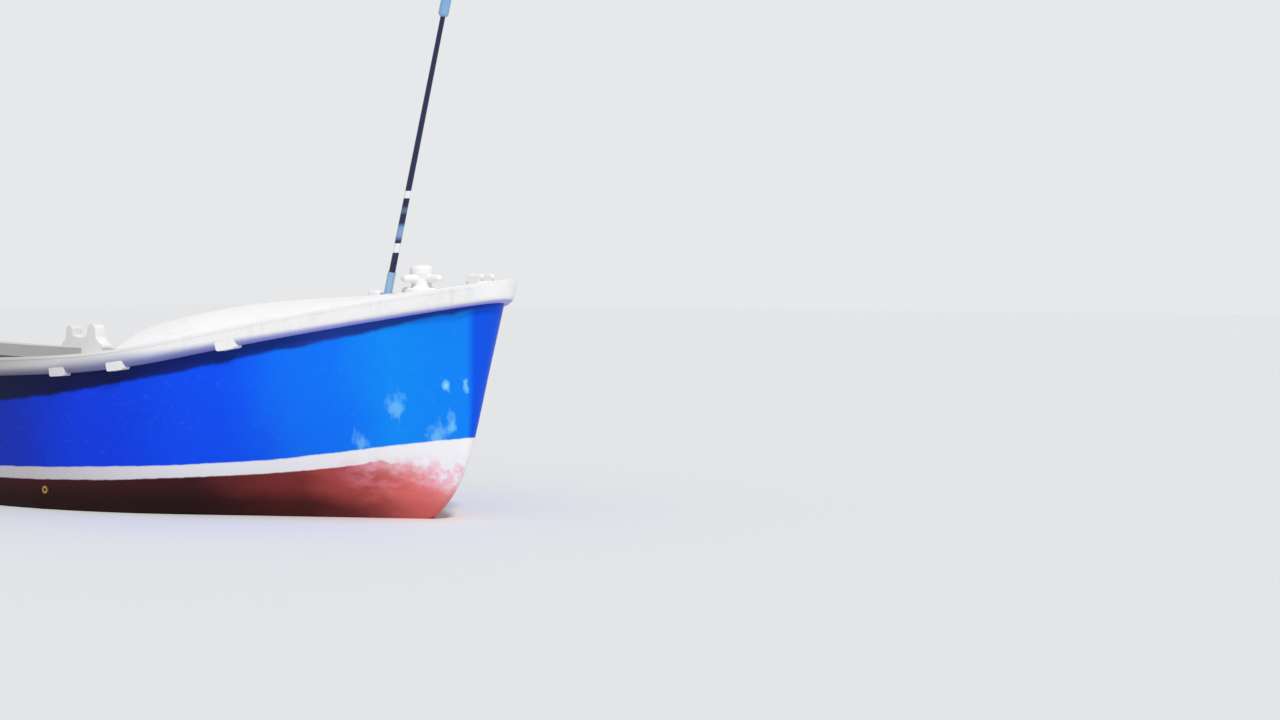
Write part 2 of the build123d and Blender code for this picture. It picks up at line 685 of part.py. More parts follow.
def horn(span, height):
    """The outline of one upright horn in the side view, with a round top."""
    low, high = span
    inset = 0.12 * (high - low)
    radius = (high - low) / 2 - inset
    left, right = low + inset, high - inset
    shoulder = height - radius
    return [
        Line((low, 0), (left, shoulder)),
        ThreePointArc((left, shoulder), ((left + right) / 2, height), (right, shoulder)),
        Line((right, shoulder), (high, 0)),
        Line((high, 0), (low, 0)),
    ]


def thole_chock():
    """The starboard chock: two horns with a rounded notch, on a level foot over the sloping capping."""
    aft_horn, fore_horn = CHOCK_AFT_HORN, CHOCK_FORE_HORN
    half = CHOCK_WIDTH / 2
    shape = side_profile(horn(aft_horn, CHOCK_HORN_HEIGHT - 8), half)
    shape += side_profile(horn(fore_horn, CHOCK_HORN_HEIGHT), half)
    base_aft, base_fore = CHOCK_BASE
    low = CHOCK_BASE_THICKNESS
    flare = ThreePointArc((fore_horn[1] - 8, CHOCK_HORN_HEIGHT * 0.5),
                          (fore_horn[1] + 12, CHOCK_HORN_HEIGHT * 0.25), (base_fore, low * 0.6))
    saddle = [
        Line((base_aft, 0), (base_aft, low)),
        Line((base_aft, low), (aft_horn[1] - 12, CHOCK_NOTCH_HEIGHT + 18)),
        ThreePointArc((aft_horn[1] - 12, CHOCK_NOTCH_HEIGHT + 18), (0, CHOCK_NOTCH_HEIGHT),
                      (fore_horn[0] + 12, CHOCK_NOTCH_HEIGHT + 18)),
        Line((fore_horn[0] + 12, CHOCK_NOTCH_HEIGHT + 18), (fore_horn[1] - 8, CHOCK_HORN_HEIGHT * 0.5)),
        flare,
        Line((base_fore, low * 0.6), (base_fore, 0)),
        Line((base_fore, 0), (base_aft, 0)),
    ]
    shape += side_profile(saddle, half)
    bolster = slab(CHOCK_BOLSTER, (-half, half), (-80, 1))
    shape = Pos(CHOCK_X, -cap_middle_y(CHOCK_X), CHOCK_FOOT_Z) * (shape + bolster)
    return shape - under_cap_top


def stern_cleat():
    """The starboard mooring cleat on the quarter."""
    y = -cap_middle_y(CLEAT_X)
    z = sheer_z(CLEAT_X) + cap_top_height
    bar_z = CLEAT_HEIGHT - CLEAT_BAR_RADIUS
    half = CLEAT_LENGTH / 2 - CLEAT_BAR_RADIUS
    shape = round_ended_rod((-half, 0, bar_z), (half, 0, bar_z), CLEAT_BAR_RADIUS)
    for x in (-0.35 * half, 0.35 * half):
        shape += rod((x, 0, -20), (x, 0, bar_z), CLEAT_BAR_RADIUS)
    shape += slab((-0.55 * half, 0.55 * half), (-20, 20), (-20, 6))
    return (Pos(CLEAT_X, y, z) * shape) - under_cap_top


def stern_eye():
    """The starboard eye plate on the transom's outer face."""
    ring = [
        Line((0, -EYE_REACH), (0, EYE_REACH)),
        Line((0, EYE_REACH), (-EYE_REACH, EYE_REACH * 0.9)),
        ThreePointArc((-EYE_REACH, EYE_REACH * 0.9), (-1.9 * EYE_REACH, 0), (-EYE_REACH, -EYE_REACH * 0.9)),
        Line((-EYE_REACH, -EYE_REACH * 0.9), (0, -EYE_REACH)),
    ]
    shape = side_profile(ring, EYE_THICKNESS / 2)
    tall = EYE_REACH + EYE_PLATE_MARGIN
    shape += slab((-EYE_PLATE_THICKNESS, 0), (-EYE_PLATE_WIDTH / 2, EYE_PLATE_WIDTH / 2), (-tall, tall))
    shape -= rod((-EYE_REACH, -EYE_THICKNESS, 0), (-EYE_REACH, EYE_THICKNESS, 0), EYE_HOLE_RADIUS)
    return Pos(TRANSOM_X, -EYE_Y, EYE_Z) * shape


def exhaust_outlet():
    """A short pipe with a flange on the transom."""
    margin, thickness = EXHAUST_FLANGE
    shape = rod((0, 0, 0), (-EXHAUST_LENGTH, 0, 0), EXHAUST_RADIUS)
    shape += rod((0, 0, 0), (-thickness, 0, 0), EXHAUST_RADIUS + margin)
    shape -= rod((-EXHAUST_END_WALL, 0, 0), (-EXHAUST_LENGTH - 1, 0, 0), EXHAUST_BORE)
    return Pos(TRANSOM_X, EXHAUST_Y, EXHAUST_Z) * shape


def skin_fitting():
    """A small round outlet low on the starboard side."""
    y = hull_y(SKIN_FITTING_X, SKIN_FITTING_Z)
    proud = SKIN_FITTING_PROUD
    shape = rod((0, proud, 0), (0, -proud, 0), SKIN_FITTING_RADIUS)
    shape -= rod((0, proud + 1, 0), (0, -proud - 1, 0), 0.45 * SKIN_FITTING_RADIUS)
    return (Pos(SKIN_FITTING_X, -y, SKIN_FITTING_Z) * shape) - outer_topsides


def sole_boards():
    """The boards that one stands on, cut to the hull's inside."""
    pitch = BOARD_WIDTH + BOARD_GAP
    level = (SOLE_Z - SOLE_THICKNESS, SOLE_Z)
    boards = None
    for number in range(-BOARD_PAIRS, BOARD_PAIRS + 1):
        middle = number * pitch
        board = slab((TRANSOM_X + TRANSOM_WALL + SEAT_FIT, SOLE_FORE_X),
                     (middle - BOARD_WIDTH / 2, middle + BOARD_WIDTH / 2), level)
        boards = board if boards is None else boards + board
    well = slab((BOX_AFT_X + 2 * BOX_WALL, BOX_FORE_X - 2 * BOX_WALL),
                (2 * BOX_WALL - BOX_HALF_WIDTH, BOX_HALF_WIDTH - 2 * BOX_WALL), UPRIGHT)
    return (boards & liner) - well


def sole_bearers():
    """The floors across the bottom that carry the sole, with a limber hole through each."""
    half = BEARER_THICKNESS / 2
    floors = None
    for x in BEARER_XS:
        floor = slab((x - half, x + half), ATHWART, (HULL_DEEP_Z, SOLE_Z - SOLE_THICKNESS))
        floors = floor if floors is None else floors + floor
    limber = rod((BEARER_XS[-1] - 100, 0, -255), (BEARER_XS[0] + 100, 0, -255), 26)
    return (floors & liner) - limber


def thwart():
    """The seat board from side to side, aft of the foredeck."""
    half = THWART_WIDTH / 2
    board = slab((THWART_X - half, THWART_X + half), ATHWART, (THWART_Z - THWART_THICKNESS, THWART_Z))
    return board & liner


def thwart_knees():
    """Standing knees on the thwart's ends, up against the hull's side."""
    y_top = hull_y(THWART_X, THWART_Z)
    side = (y_top - KNEE_LENGTH, THWART_Z)
    corner = (y_top + 60, THWART_Z)
    top = (y_top + 60, THWART_Z + KNEE_HEIGHT)
    inner_top = (y_top - 30, THWART_Z + KNEE_HEIGHT)
    hollow = ThreePointArc(inner_top, (y_top - 0.52 * KNEE_LENGTH, THWART_Z + 0.3 * KNEE_HEIGHT), side)
    outline = [Line(side, corner), Line(corner, top), Line(top, inner_top), hollow]
    knee = Plane.YZ * make_face(outline)
    knee = Pos(THWART_X - KNEE_THICKNESS / 2, 0, 0) * extrude(knee, amount=KNEE_THICKNESS)
    return (knee + flip(knee)) & liner


def side_bench():
    """The port bench along the cockpit: its seat and its front panel."""
    seat = slab((STERN_BENCH_X + SEAT_FIT, BENCH_FORE_X), (BENCH_FRONT_Y - BENCH_NOSING, HALF_SPAN),
                (BENCH_Z - BENCH_THICKNESS, BENCH_Z))
    front = slab((STERN_BENCH_X + SEAT_FIT, BENCH_FORE_X - BENCH_NOSING),
                 (BENCH_FRONT_Y, BENCH_FRONT_Y + BENCH_FRONT_THICKNESS),
                 (SOLE_Z, BENCH_Z - BENCH_THICKNESS))
    end = slab((BENCH_FORE_X - BENCH_NOSING - BENCH_FRONT_THICKNESS, BENCH_FORE_X - BENCH_NOSING),
               (BENCH_FRONT_Y, HALF_SPAN), (SOLE_Z, BENCH_Z - BENCH_THICKNESS))
    return seat & cockpit, (front + end) & cockpit


def stern_bench():
    """The seat across the stern and its front panel."""
    seat = slab((TRANSOM_X, STERN_BENCH_X), ATHWART, (BENCH_Z - BENCH_THICKNESS, BENCH_Z))
    front = slab((STERN_BENCH_X - BENCH_NOSING - BENCH_FRONT_THICKNESS, STERN_BENCH_X - BENCH_NOSING),
                 ATHWART, (SOLE_Z, BENCH_Z - BENCH_THICKNESS))
    return seat & cockpit, front & cockpit


def engine_box():
    """The four walls of the box round the engine, standing on the sole."""
    outside = slab((BOX_AFT_X, BOX_FORE_X), (-BOX_HALF_WIDTH, BOX_HALF_WIDTH), (SOLE_Z, BOX_TOP_Z))
    inside = slab((BOX_AFT_X + BOX_WALL, BOX_FORE_X - BOX_WALL),
                  (BOX_WALL - BOX_HALF_WIDTH, BOX_HALF_WIDTH - BOX_WALL), UPRIGHT)
    return fillet(outside.edges().filter_by(Axis.Z), 10) - inside


LID_BOTTOM_Z = BOX_TOP_Z + SEAT_FIT
LID_TOP_Z = LID_BOTTOM_Z + LID_THICKNESS
HINGE_X = BOX_FORE_X + HINGE_RADIUS + 1
HINGE_Z = LID_TOP_Z + HINGE_LEAF - HINGE_RADIUS


def engine_lid():
    """The lid of the engine box, hinged at its forward edge."""
    half = BOX_HALF_WIDTH + LID_OVERHANG
    lid = slab((BOX_AFT_X - LID_OVERHANG, BOX_FORE_X - SEAT_FIT), (-half, half), (LID_BOTTOM_Z, LID_TOP_Z))
    lid = fillet(lid.edges().filter_by(Axis.Z), 16)
    return chamfer(lid.edges().group_by(Axis.Z)[-1], 5)


def lid_hinges():
    """Two hinges: the leaves, pins and middle knuckles on the box, and the outer knuckles on the lid."""
    fixed, moving = None, None
    for y in HINGE_YS:
        half = HINGE_KNUCKLE / 2
        span = 3 * half + 1
        still = rod((HINGE_X, y - half, HINGE_Z), (HINGE_X, y + half, HINGE_Z), HINGE_RADIUS)
        still += rod((HINGE_X, y - span, HINGE_Z), (HINGE_X, y + span, HINGE_Z), HINGE_PIN_RADIUS)
        still += slab((BOX_FORE_X, BOX_FORE_X + HINGE_LEAF), (y - half, y + half),
                      (HINGE_Z - HINGE_REACH, HINGE_Z))
        fixed = still if fixed is None else fixed + still
        leaf = slab((BOX_FORE_X - HINGE_REACH, HINGE_X), (y - span, y + span),
                    (LID_TOP_Z, LID_TOP_Z + HINGE_LEAF))
        leaf -= slab((BOX_FORE_X - 2, HINGE_X + 2), (y - half - 1, y + half + 1), UPRIGHT)
        for side in (-1, 1):
            near, far = y + side * (half + 1), y + side * span
            leaf += rod((HINGE_X, near, HINGE_Z), (HINGE_X, far, HINGE_Z), HINGE_RADIUS)
        leaf -= rod((HINGE_X, y - 2 * span, HINGE_Z), (HINGE_X, y + 2 * span, HINGE_Z),
                    HINGE_PIN_RADIUS + PIN_FIT)
        moving = leaf if moving is None else moving + leaf
    return fixed, moving


def engine():
    """The engine with its gearbox, as one plain block."""
    middle = (BOX_AFT_X + BOX_FORE_X) / 2
    half = ENGINE_LENGTH / 2
    block = slab((middle - half, middle + half), (-ENGINE_HALF_WIDTH, ENGINE_HALF_WIDTH),
                 (ENGINE_Z, ENGINE_Z + ENGINE_HEIGHT))
    return fillet(block.edges().filter_by(Axis.X), 30)


def engine_bearers():
    """Two fore-and-aft beams that carry the engine on the bottom."""
    half = ENGINE_BEARER_WIDTH / 2
    top = min(SOLE_Z - SOLE_THICKNESS, ENGINE_Z)
    beam = slab((BOX_AFT_X, BOX_FORE_X), (BEARER_HALF_GAUGE - half, BEARER_HALF_GAUGE + half),
                (HULL_DEEP_Z, top))
    return (beam + flip(beam)) & liner


def shaft_place():
    """The propeller's centre, as a place whose Z runs forward up the shaft."""
    tilt = radians(SHAFT_ANGLE)
    return Plane(origin=(PROPELLER_X, 0, PROPELLER_Z), x_dir=(sin(tilt), 0, -cos(tilt)),
                 z_dir=(cos(tilt), 0, sin(tilt)))


HUB_FRONT = HUB_LENGTH / 2
TUBE_AFT = (SKEG_AFT_X - PROPELLER_X) / cos(radians(SHAFT_ANGLE)) - STERN_TUBE_LENGTH / 2
TUBE_FORE = TUBE_AFT + SHAFT_INSIDE + STERN_TUBE_LENGTH


def keel():
    """The keel and skeg with the heel that carries the rudder."""
    heel_top = SKEG_BOTTOM_Z + HEEL_THICKNESS
    outline = [
        (KEEL_FORE_X, KEEL_TOP_Z), (KEEL_FORE_X, KEEL_FORE_Z), (KEEL_TURN_X, KEEL_TURN_Z),
        (SKEG_AFT_X, SKEG_BOTTOM_Z), (HEEL_AFT_X, SKEG_BOTTOM_Z), (HEEL_AFT_X, heel_top),
        (SKEG_AFT_X - HEEL_THROAT, heel_top), (SKEG_AFT_X, heel_top + HEEL_THROAT),
        (SKEG_AFT_X, KEEL_TOP_Z),
    ]
    plate = side_profile(closed_lines(outline), KEEL_THICKNESS / 2)
    boss = shaft_place() * rod((0, 0, TUBE_AFT + STERN_TUBE_LENGTH), (0, 0, TUBE_FORE + 60),
                               STERN_TUBE_RADIUS + 12)
    shape = plate + boss
    shape -= shaft_place() * rod((0, 0, 0), (0, 0, TUBE_FORE), STERN_TUBE_RADIUS)
    shape -= rod((RUDDER_AXIS_X, 0, SKEG_BOTTOM_Z - 10), (RUDDER_AXIS_X, 0, heel_top + 10),
                 HEEL_PIN_RADIUS + PIN_FIT)
    return shape - outer_bottom


def stern_tube():
    """The tube that the shaft turns in, with its bearing nut aft of the skeg."""
    tube = rod((0, 0, TUBE_AFT), (0, 0, TUBE_FORE), STERN_TUBE_RADIUS)
    tube -= rod((0, 0, TUBE_AFT - 1), (0, 0, TUBE_FORE - 20), SHAFT_RADIUS + PIN_FIT)
    return shaft_place() * tube


def propeller_shaft():
    """The shaft from its bearing in the stern tube to the nut behind the propeller."""
    body = rod((0, 0, HUB_FRONT), (0, 0, TUBE_FORE - 20 - SWING_GAP), SHAFT_RADIUS)
    return shaft_place() * body


def blade_section(radius, chord, thickness):
    """One section of a propeller blade: a lens, turned to its pitch."""
    pitch_angle = atan2(PROPELLER_PITCH, 2 * pi * radius)
    outline = make_face([
        ThreePointArc((-chord / 2, 0), (0, thickness / 2), (chord / 2, 0)),
        ThreePointArc((chord / 2, 0), (0, -thickness / 2), (-chord / 2, 0)),
    ])
    # Local X is the chord: round the hub at the tip, nearly along it at the root.
    chord_way = (0, cos(pitch_angle), sin(pitch_angle))
    return Plane(origin=(radius, 0, 0), x_dir=chord_way, z_dir=(1, 0, 0)) * outline


def propeller():
    """The propeller: a tapered hub with its cone, and three twisted blades."""
    hub = turned([
        (0, -HUB_FRONT - 34), (10, -HUB_FRONT - 32), (HUB_RADIUS * 0.7, -HUB_FRONT),
        (HUB_RADIUS, HUB_FRONT), (0, HUB_FRONT),
    ])
    # Each row is (share of the radius, chord, thickness).
    sections = [(0.14, 58.0, 13.0), (0.40, 92.0, 10.0), (0.72, 104.0, 7.0), (1.0, 46.0, 3.0)]
    blade = loft([blade_section(share * PROPELLER_RADIUS, chord, thickness)
                  for share, chord, thickness in sections])
    for number in range(PROPELLER_BLADES):
        hub += Rot(0, 0, number * 360 / PROPELLER_BLADES) * blade
    return shaft_place() * hub


def rudder():
    """The rudder: blade, shoulder and head, cut away round the gudgeons."""
    lead = RUDDER_AXIS_X + RUDDER_LEAD
    bottom = SKEG_BOTTOM_Z + HEEL_THICKNESS + SWING_GAP
    back = RUDDER_AXIS_X - RUDDER_CHORD
    head_back = RUDDER_AXIS_X - RUDDER_HEAD_CHORD
    shoulder_top = (head_back, RUDDER_SHOULDER_Z + RUDDER_SHOULDER_RISE)
    shoulder_foot = (back, RUDDER_SHOULDER_Z - RUDDER_SHOULDER_DROP)
    corner_top, corner_foot = (back, bottom + RUDDER_CORNER), (back + RUDDER_CORNER, bottom)
    outline = [
        Line((lead, bottom), (lead, RUDDER_HEAD_Z)),
        Line((lead, RUDDER_HEAD_Z), (head_back, RUDDER_HEAD_Z)),
        Line((head_back, RUDDER_HEAD_Z), shoulder_top),
        TangentArc(shoulder_top, shoulder_foot, tangent=(0, -1)),
        Line(shoulder_foot, corner_top),
        TangentArc(corner_top, corner_foot, tangent=(0, -1)),
        Line(corner_foot, (lead, bottom)),
    ]
    shape = side_profile(outline, RUDDER_THICKNESS / 2)
    half = GUDGEON_HEIGHT / 2 + SWING_GAP
    for z in GUDGEON_ZS:
        shape -= slab((RUDDER_AXIS_X - GUDGEON_RADIUS - SWING_GAP, lead + 1), ATHWART, (z - half, z + half))
    return shape


def rudder_pintles():
    """The pins that the rudder turns on: one across each cut-out and one in the heel."""
    half = GUDGEON_HEIGHT / 2 + SWING_GAP
    pins = None
    for z in GUDGEON_ZS:
        pin = rod((RUDDER_AXIS_X, 0, z - half), (RUDDER_AXIS_X, 0, z + half), PINTLE_RADIUS)
        pins = pin if pins is None else pins + pin
    heel_top = SKEG_BOTTOM_Z + HEEL_THICKNESS
    return pins + rod((RUDDER_AXIS_X, 0, heel_top - HEEL_PIN_LENGTH),
                      (RUDDER_AXIS_X, 0, heel_top + SWING_GAP), HEEL_PIN_RADIUS)


def transom_gudgeons():
    """The brackets on the transom, each with an eye round its pintle."""
    half, half_arm = GUDGEON_HEIGHT / 2, GUDGEON_ARM_THICKNESS / 2
    thickness, width, height = GUDGEON_PLATE
    brackets = None
    for z in GUDGEON_ZS:
        eye = rod((RUDDER_AXIS_X, 0, z - half), (RUDDER_AXIS_X, 0, z + half), GUDGEON_RADIUS)
        arm = slab((RUDDER_AXIS_X, TRANSOM_X), (-half_arm, half_arm), (z - half, z + half))
        flange = slab((TRANSOM_X - thickness, TRANSOM_X), (-width / 2, width / 2),
                      (z - height / 2, z + height / 2))
        bracket = eye + arm + flange
        bracket -= rod((RUDDER_AXIS_X, 0, z - half - 1), (RUDDER_AXIS_X, 0, z + half + 1),
                       PINTLE_RADIUS + PIN_FIT)
        brackets = bracket if brackets is None else brackets + bracket
    return brackets


def tiller():
    """The tiller: two cheeks on the rudder's head and a tapered bar that reaches forward."""
    half, cheek = RUDDER_THICKNESS / 2, TILLER_CHEEK
    low, high = RUDDER_HEAD_Z - TILLER_CHEEK_DEPTH, RUDDER_HEAD_Z
    aft = RUDDER_AXIS_X - RUDDER_HEAD_CHORD + 10
    cheeks = None
    for side in (-1, 1):
        near, far = sorted((side * half, side * (half + cheek)))
        plate = slab((aft, RUDDER_AXIS_X + RUDDER_LEAD), (near, far), (low, high))
        cheeks = plate if cheeks is None else cheeks + plate
    root = slab((aft, RUDDER_AXIS_X + RUDDER_LEAD), (-half - cheek, half + cheek),
                (high, high + TILLER_THICKNESS))
    start = (RUDDER_AXIS_X, 0, high + TILLER_THICKNESS / 2)
    end = (RUDDER_AXIS_X + TILLER_LENGTH, 0, start[2] + TILLER_RISE)
    along = Vector(*end) - Vector(*start)
    place = Plane(origin=start, z_dir=along)
    length, thick = along.length, TILLER_THICKNESS
    bar = turned([
        (0, 0), (0.5 * thick, 0), (0.32 * thick, 0.84 * length), (0.42 * thick, 0.925 * length),
        (0.36 * thick, 0.99 * length), (0, length),
    ])
    return cheeks + root + place * bar


parts = {}
parts["hull_shell"] = hull_shell()
parts["keel_skeg"] = keel()
parts["strake_port"], parts["strake_starboard"] = strakes()
parts["strake_pads"] = strake_pads(parts["strake_starboard"])
parts["gunwale_cap_port"], parts["gunwale_cap_starboard"] = gunwale_caps()
parts["transom_cap"] = transom_cap()
parts["foredeck"] = (cap_body & fore_region & below_deck_top) - below_deck
parts["foredeck_beam"] = deck_beam()
parts["bollard"] = bollard()
parts["stem_fairlead"] = stem_fairlead()
parts["deck_eye"] = deck_eye()
parts["staff_socket"] = staff_socket()
parts["staff"] = staff()
parts["staff_head"] = staff_head()
parts["thole_chock_starboard"] = thole_chock()
parts["thole_chock_port"] = flip(parts["thole_chock_starboard"])
parts["stern_cleat_starboard"] = stern_cleat()
parts["stern_cleat_port"] = flip(parts["stern_cleat_starboard"])
parts["stern_eye_starboard"] = stern_eye()
parts["stern_eye_port"] = flip(parts["stern_eye_starboard"])
parts["exhaust_outlet"] = exhaust_outlet()
parts["skin_fitting"] = skin_fitting()
parts["sole_boards"] = sole_boards()
parts["sole_bearers"] = sole_bearers()
parts["thwart"] = thwart()
parts["thwart_knees"] = thwart_knees()
parts["bench_seat_port"], parts["bench_front_port"] = side_bench()
parts["bench_seat_starboard"] = flip(parts["bench_seat_port"])
parts["bench_front_starboard"] = flip(parts["bench_front_port"])
parts["stern_bench_seat"], parts["stern_bench_front"] = stern_bench()
parts["engine_box"] = engine_box()
parts["engine_lid"] = engine_lid()
parts["lid_hinges"], parts["lid_hinge_knuckles"] = lid_hinges()
parts["engine"] = engine()
parts["engine_bearers"] = engine_bearers()
parts["stern_tube"] = stern_tube()
parts["propeller_shaft"] = propeller_shaft()
parts["propeller"] = propeller()
parts["rudder"] = rudder()
parts["rudder_pintles"] = rudder_pintles()
parts["transom_gudgeons"] = transom_gudgeons()
parts["tiller"] = tiller()

for name, shape in parts.items():
    export_step(shape, f"parts/{name}.step")
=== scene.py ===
"""Dresses the open launch in finishes and fastenings, and sets its floor, lights and camera."""
import json
import logging
import math
from dataclasses import dataclass, field
from enum import Enum
from typing import Protocol, Union

import bmesh
import bpy
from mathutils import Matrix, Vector
from mathutils.bvhtree import BVHTree


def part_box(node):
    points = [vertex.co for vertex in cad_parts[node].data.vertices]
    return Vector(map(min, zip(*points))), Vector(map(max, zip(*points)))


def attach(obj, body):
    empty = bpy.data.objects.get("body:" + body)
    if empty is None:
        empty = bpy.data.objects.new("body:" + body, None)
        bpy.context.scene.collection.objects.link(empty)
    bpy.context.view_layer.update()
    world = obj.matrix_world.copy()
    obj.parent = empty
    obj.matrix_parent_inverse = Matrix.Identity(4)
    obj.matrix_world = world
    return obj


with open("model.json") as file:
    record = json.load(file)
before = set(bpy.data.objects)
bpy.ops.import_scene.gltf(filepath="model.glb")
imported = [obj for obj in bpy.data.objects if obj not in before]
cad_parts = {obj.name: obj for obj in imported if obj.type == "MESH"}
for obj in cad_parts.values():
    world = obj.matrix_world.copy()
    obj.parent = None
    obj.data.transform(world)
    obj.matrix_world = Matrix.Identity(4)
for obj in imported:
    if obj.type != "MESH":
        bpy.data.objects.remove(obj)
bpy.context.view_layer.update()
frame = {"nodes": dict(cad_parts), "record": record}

log = logging.getLogger("launch")

Socket = bpy.types.NodeSocket
Value = Union[float, Socket]
Colour = tuple[float, float, float]
Point = tuple[float, float, float]
# The values that give 0 and 1. The second may be the smaller.
Span = tuple[float, float]
# What goes into a node's sockets, by their names or numbers.
Inputs = dict[Union[int, str], object]
# Rows of (value, result), and rows of (value, colour).
Line = tuple[tuple[float, float], ...]
Stops = tuple[tuple[float, Colour], ...]

UP: Point = (0.0, 0.0, 1.0)
DOWN: Point = (0.0, 0.0, -1.0)
AHEAD: Point = (1.0, 0.0, 0.0)
ASTERN: Point = (-1.0, 0.0, 0.0)
TO_PORT: Point = (0.0, 1.0, 0.0)


def linear(share: float) -> float:
    """One channel on screen, from 0 to 1, as a scene-linear value by the sRGB curve."""
    return share / 12.92 if share <= 0.04045 else ((share + 0.055) / 1.055) ** 2.4


def paint(red: int, green: int, blue: int) -> Colour:
    """A colour as it looks on screen, from 0 to 255, as scene-linear values."""
    return linear(red / 255), linear(green / 255), linear(blue / 255)


def shaded(colour: Colour, factor: float) -> Colour:
    """A colour times a factor, with no channel over 1."""
    return tuple(min(1.0, channel * factor) for channel in colour)


@dataclass(frozen=True)
class Pattern:
    """A cloudy pattern.

    Attributes:
        scale: The clouds in a metre.
        detail: The number of finer levels.
        roughness: The finer levels' strength.
        stretch: Scale along each axis, where a small number makes streaks.
        shift: Moves the pattern, so that two differ.
    """

    scale: float
    detail: float
    roughness: float
    stretch: Point = (1.0, 1.0, 1.0)
    shift: Point = (0.0, 0.0, 0.0)


class Graph:
    """A tree of nodes that is laid down node by node."""

    def __init__(self, tree: bpy.types.NodeTree) -> None:
        """Takes up a tree."""
        self.nodes, self.links = tree.nodes, tree.links

    def node(self, kind: str, inputs: Union[Inputs, None] = None, **settings: object) -> bpy.types.Node:
        """Adds a node.

        Args:
            kind: The node's type.
            inputs: What goes into its sockets.
            settings: Values for its own properties.

        Returns:
            The new node.
        """
        made = self.nodes.new(kind)
        for key, value in settings.items():
            setattr(made, key, value)
        self.feed(made, inputs or {})
        return made

    def feed(self, node: bpy.types.Node, inputs: Inputs) -> None:
        """Links sockets to a node's inputs, or sets the inputs' own values.

        Args:
            node: The node.
            inputs: What goes into its sockets.
        """
        for key, value in inputs.items():
            target = node.inputs[key]
            if isinstance(value, Socket):
                self.links.new(value, target)
            else:
                target.default_value = (*value, 1.0) if target.type == "RGBA" else value


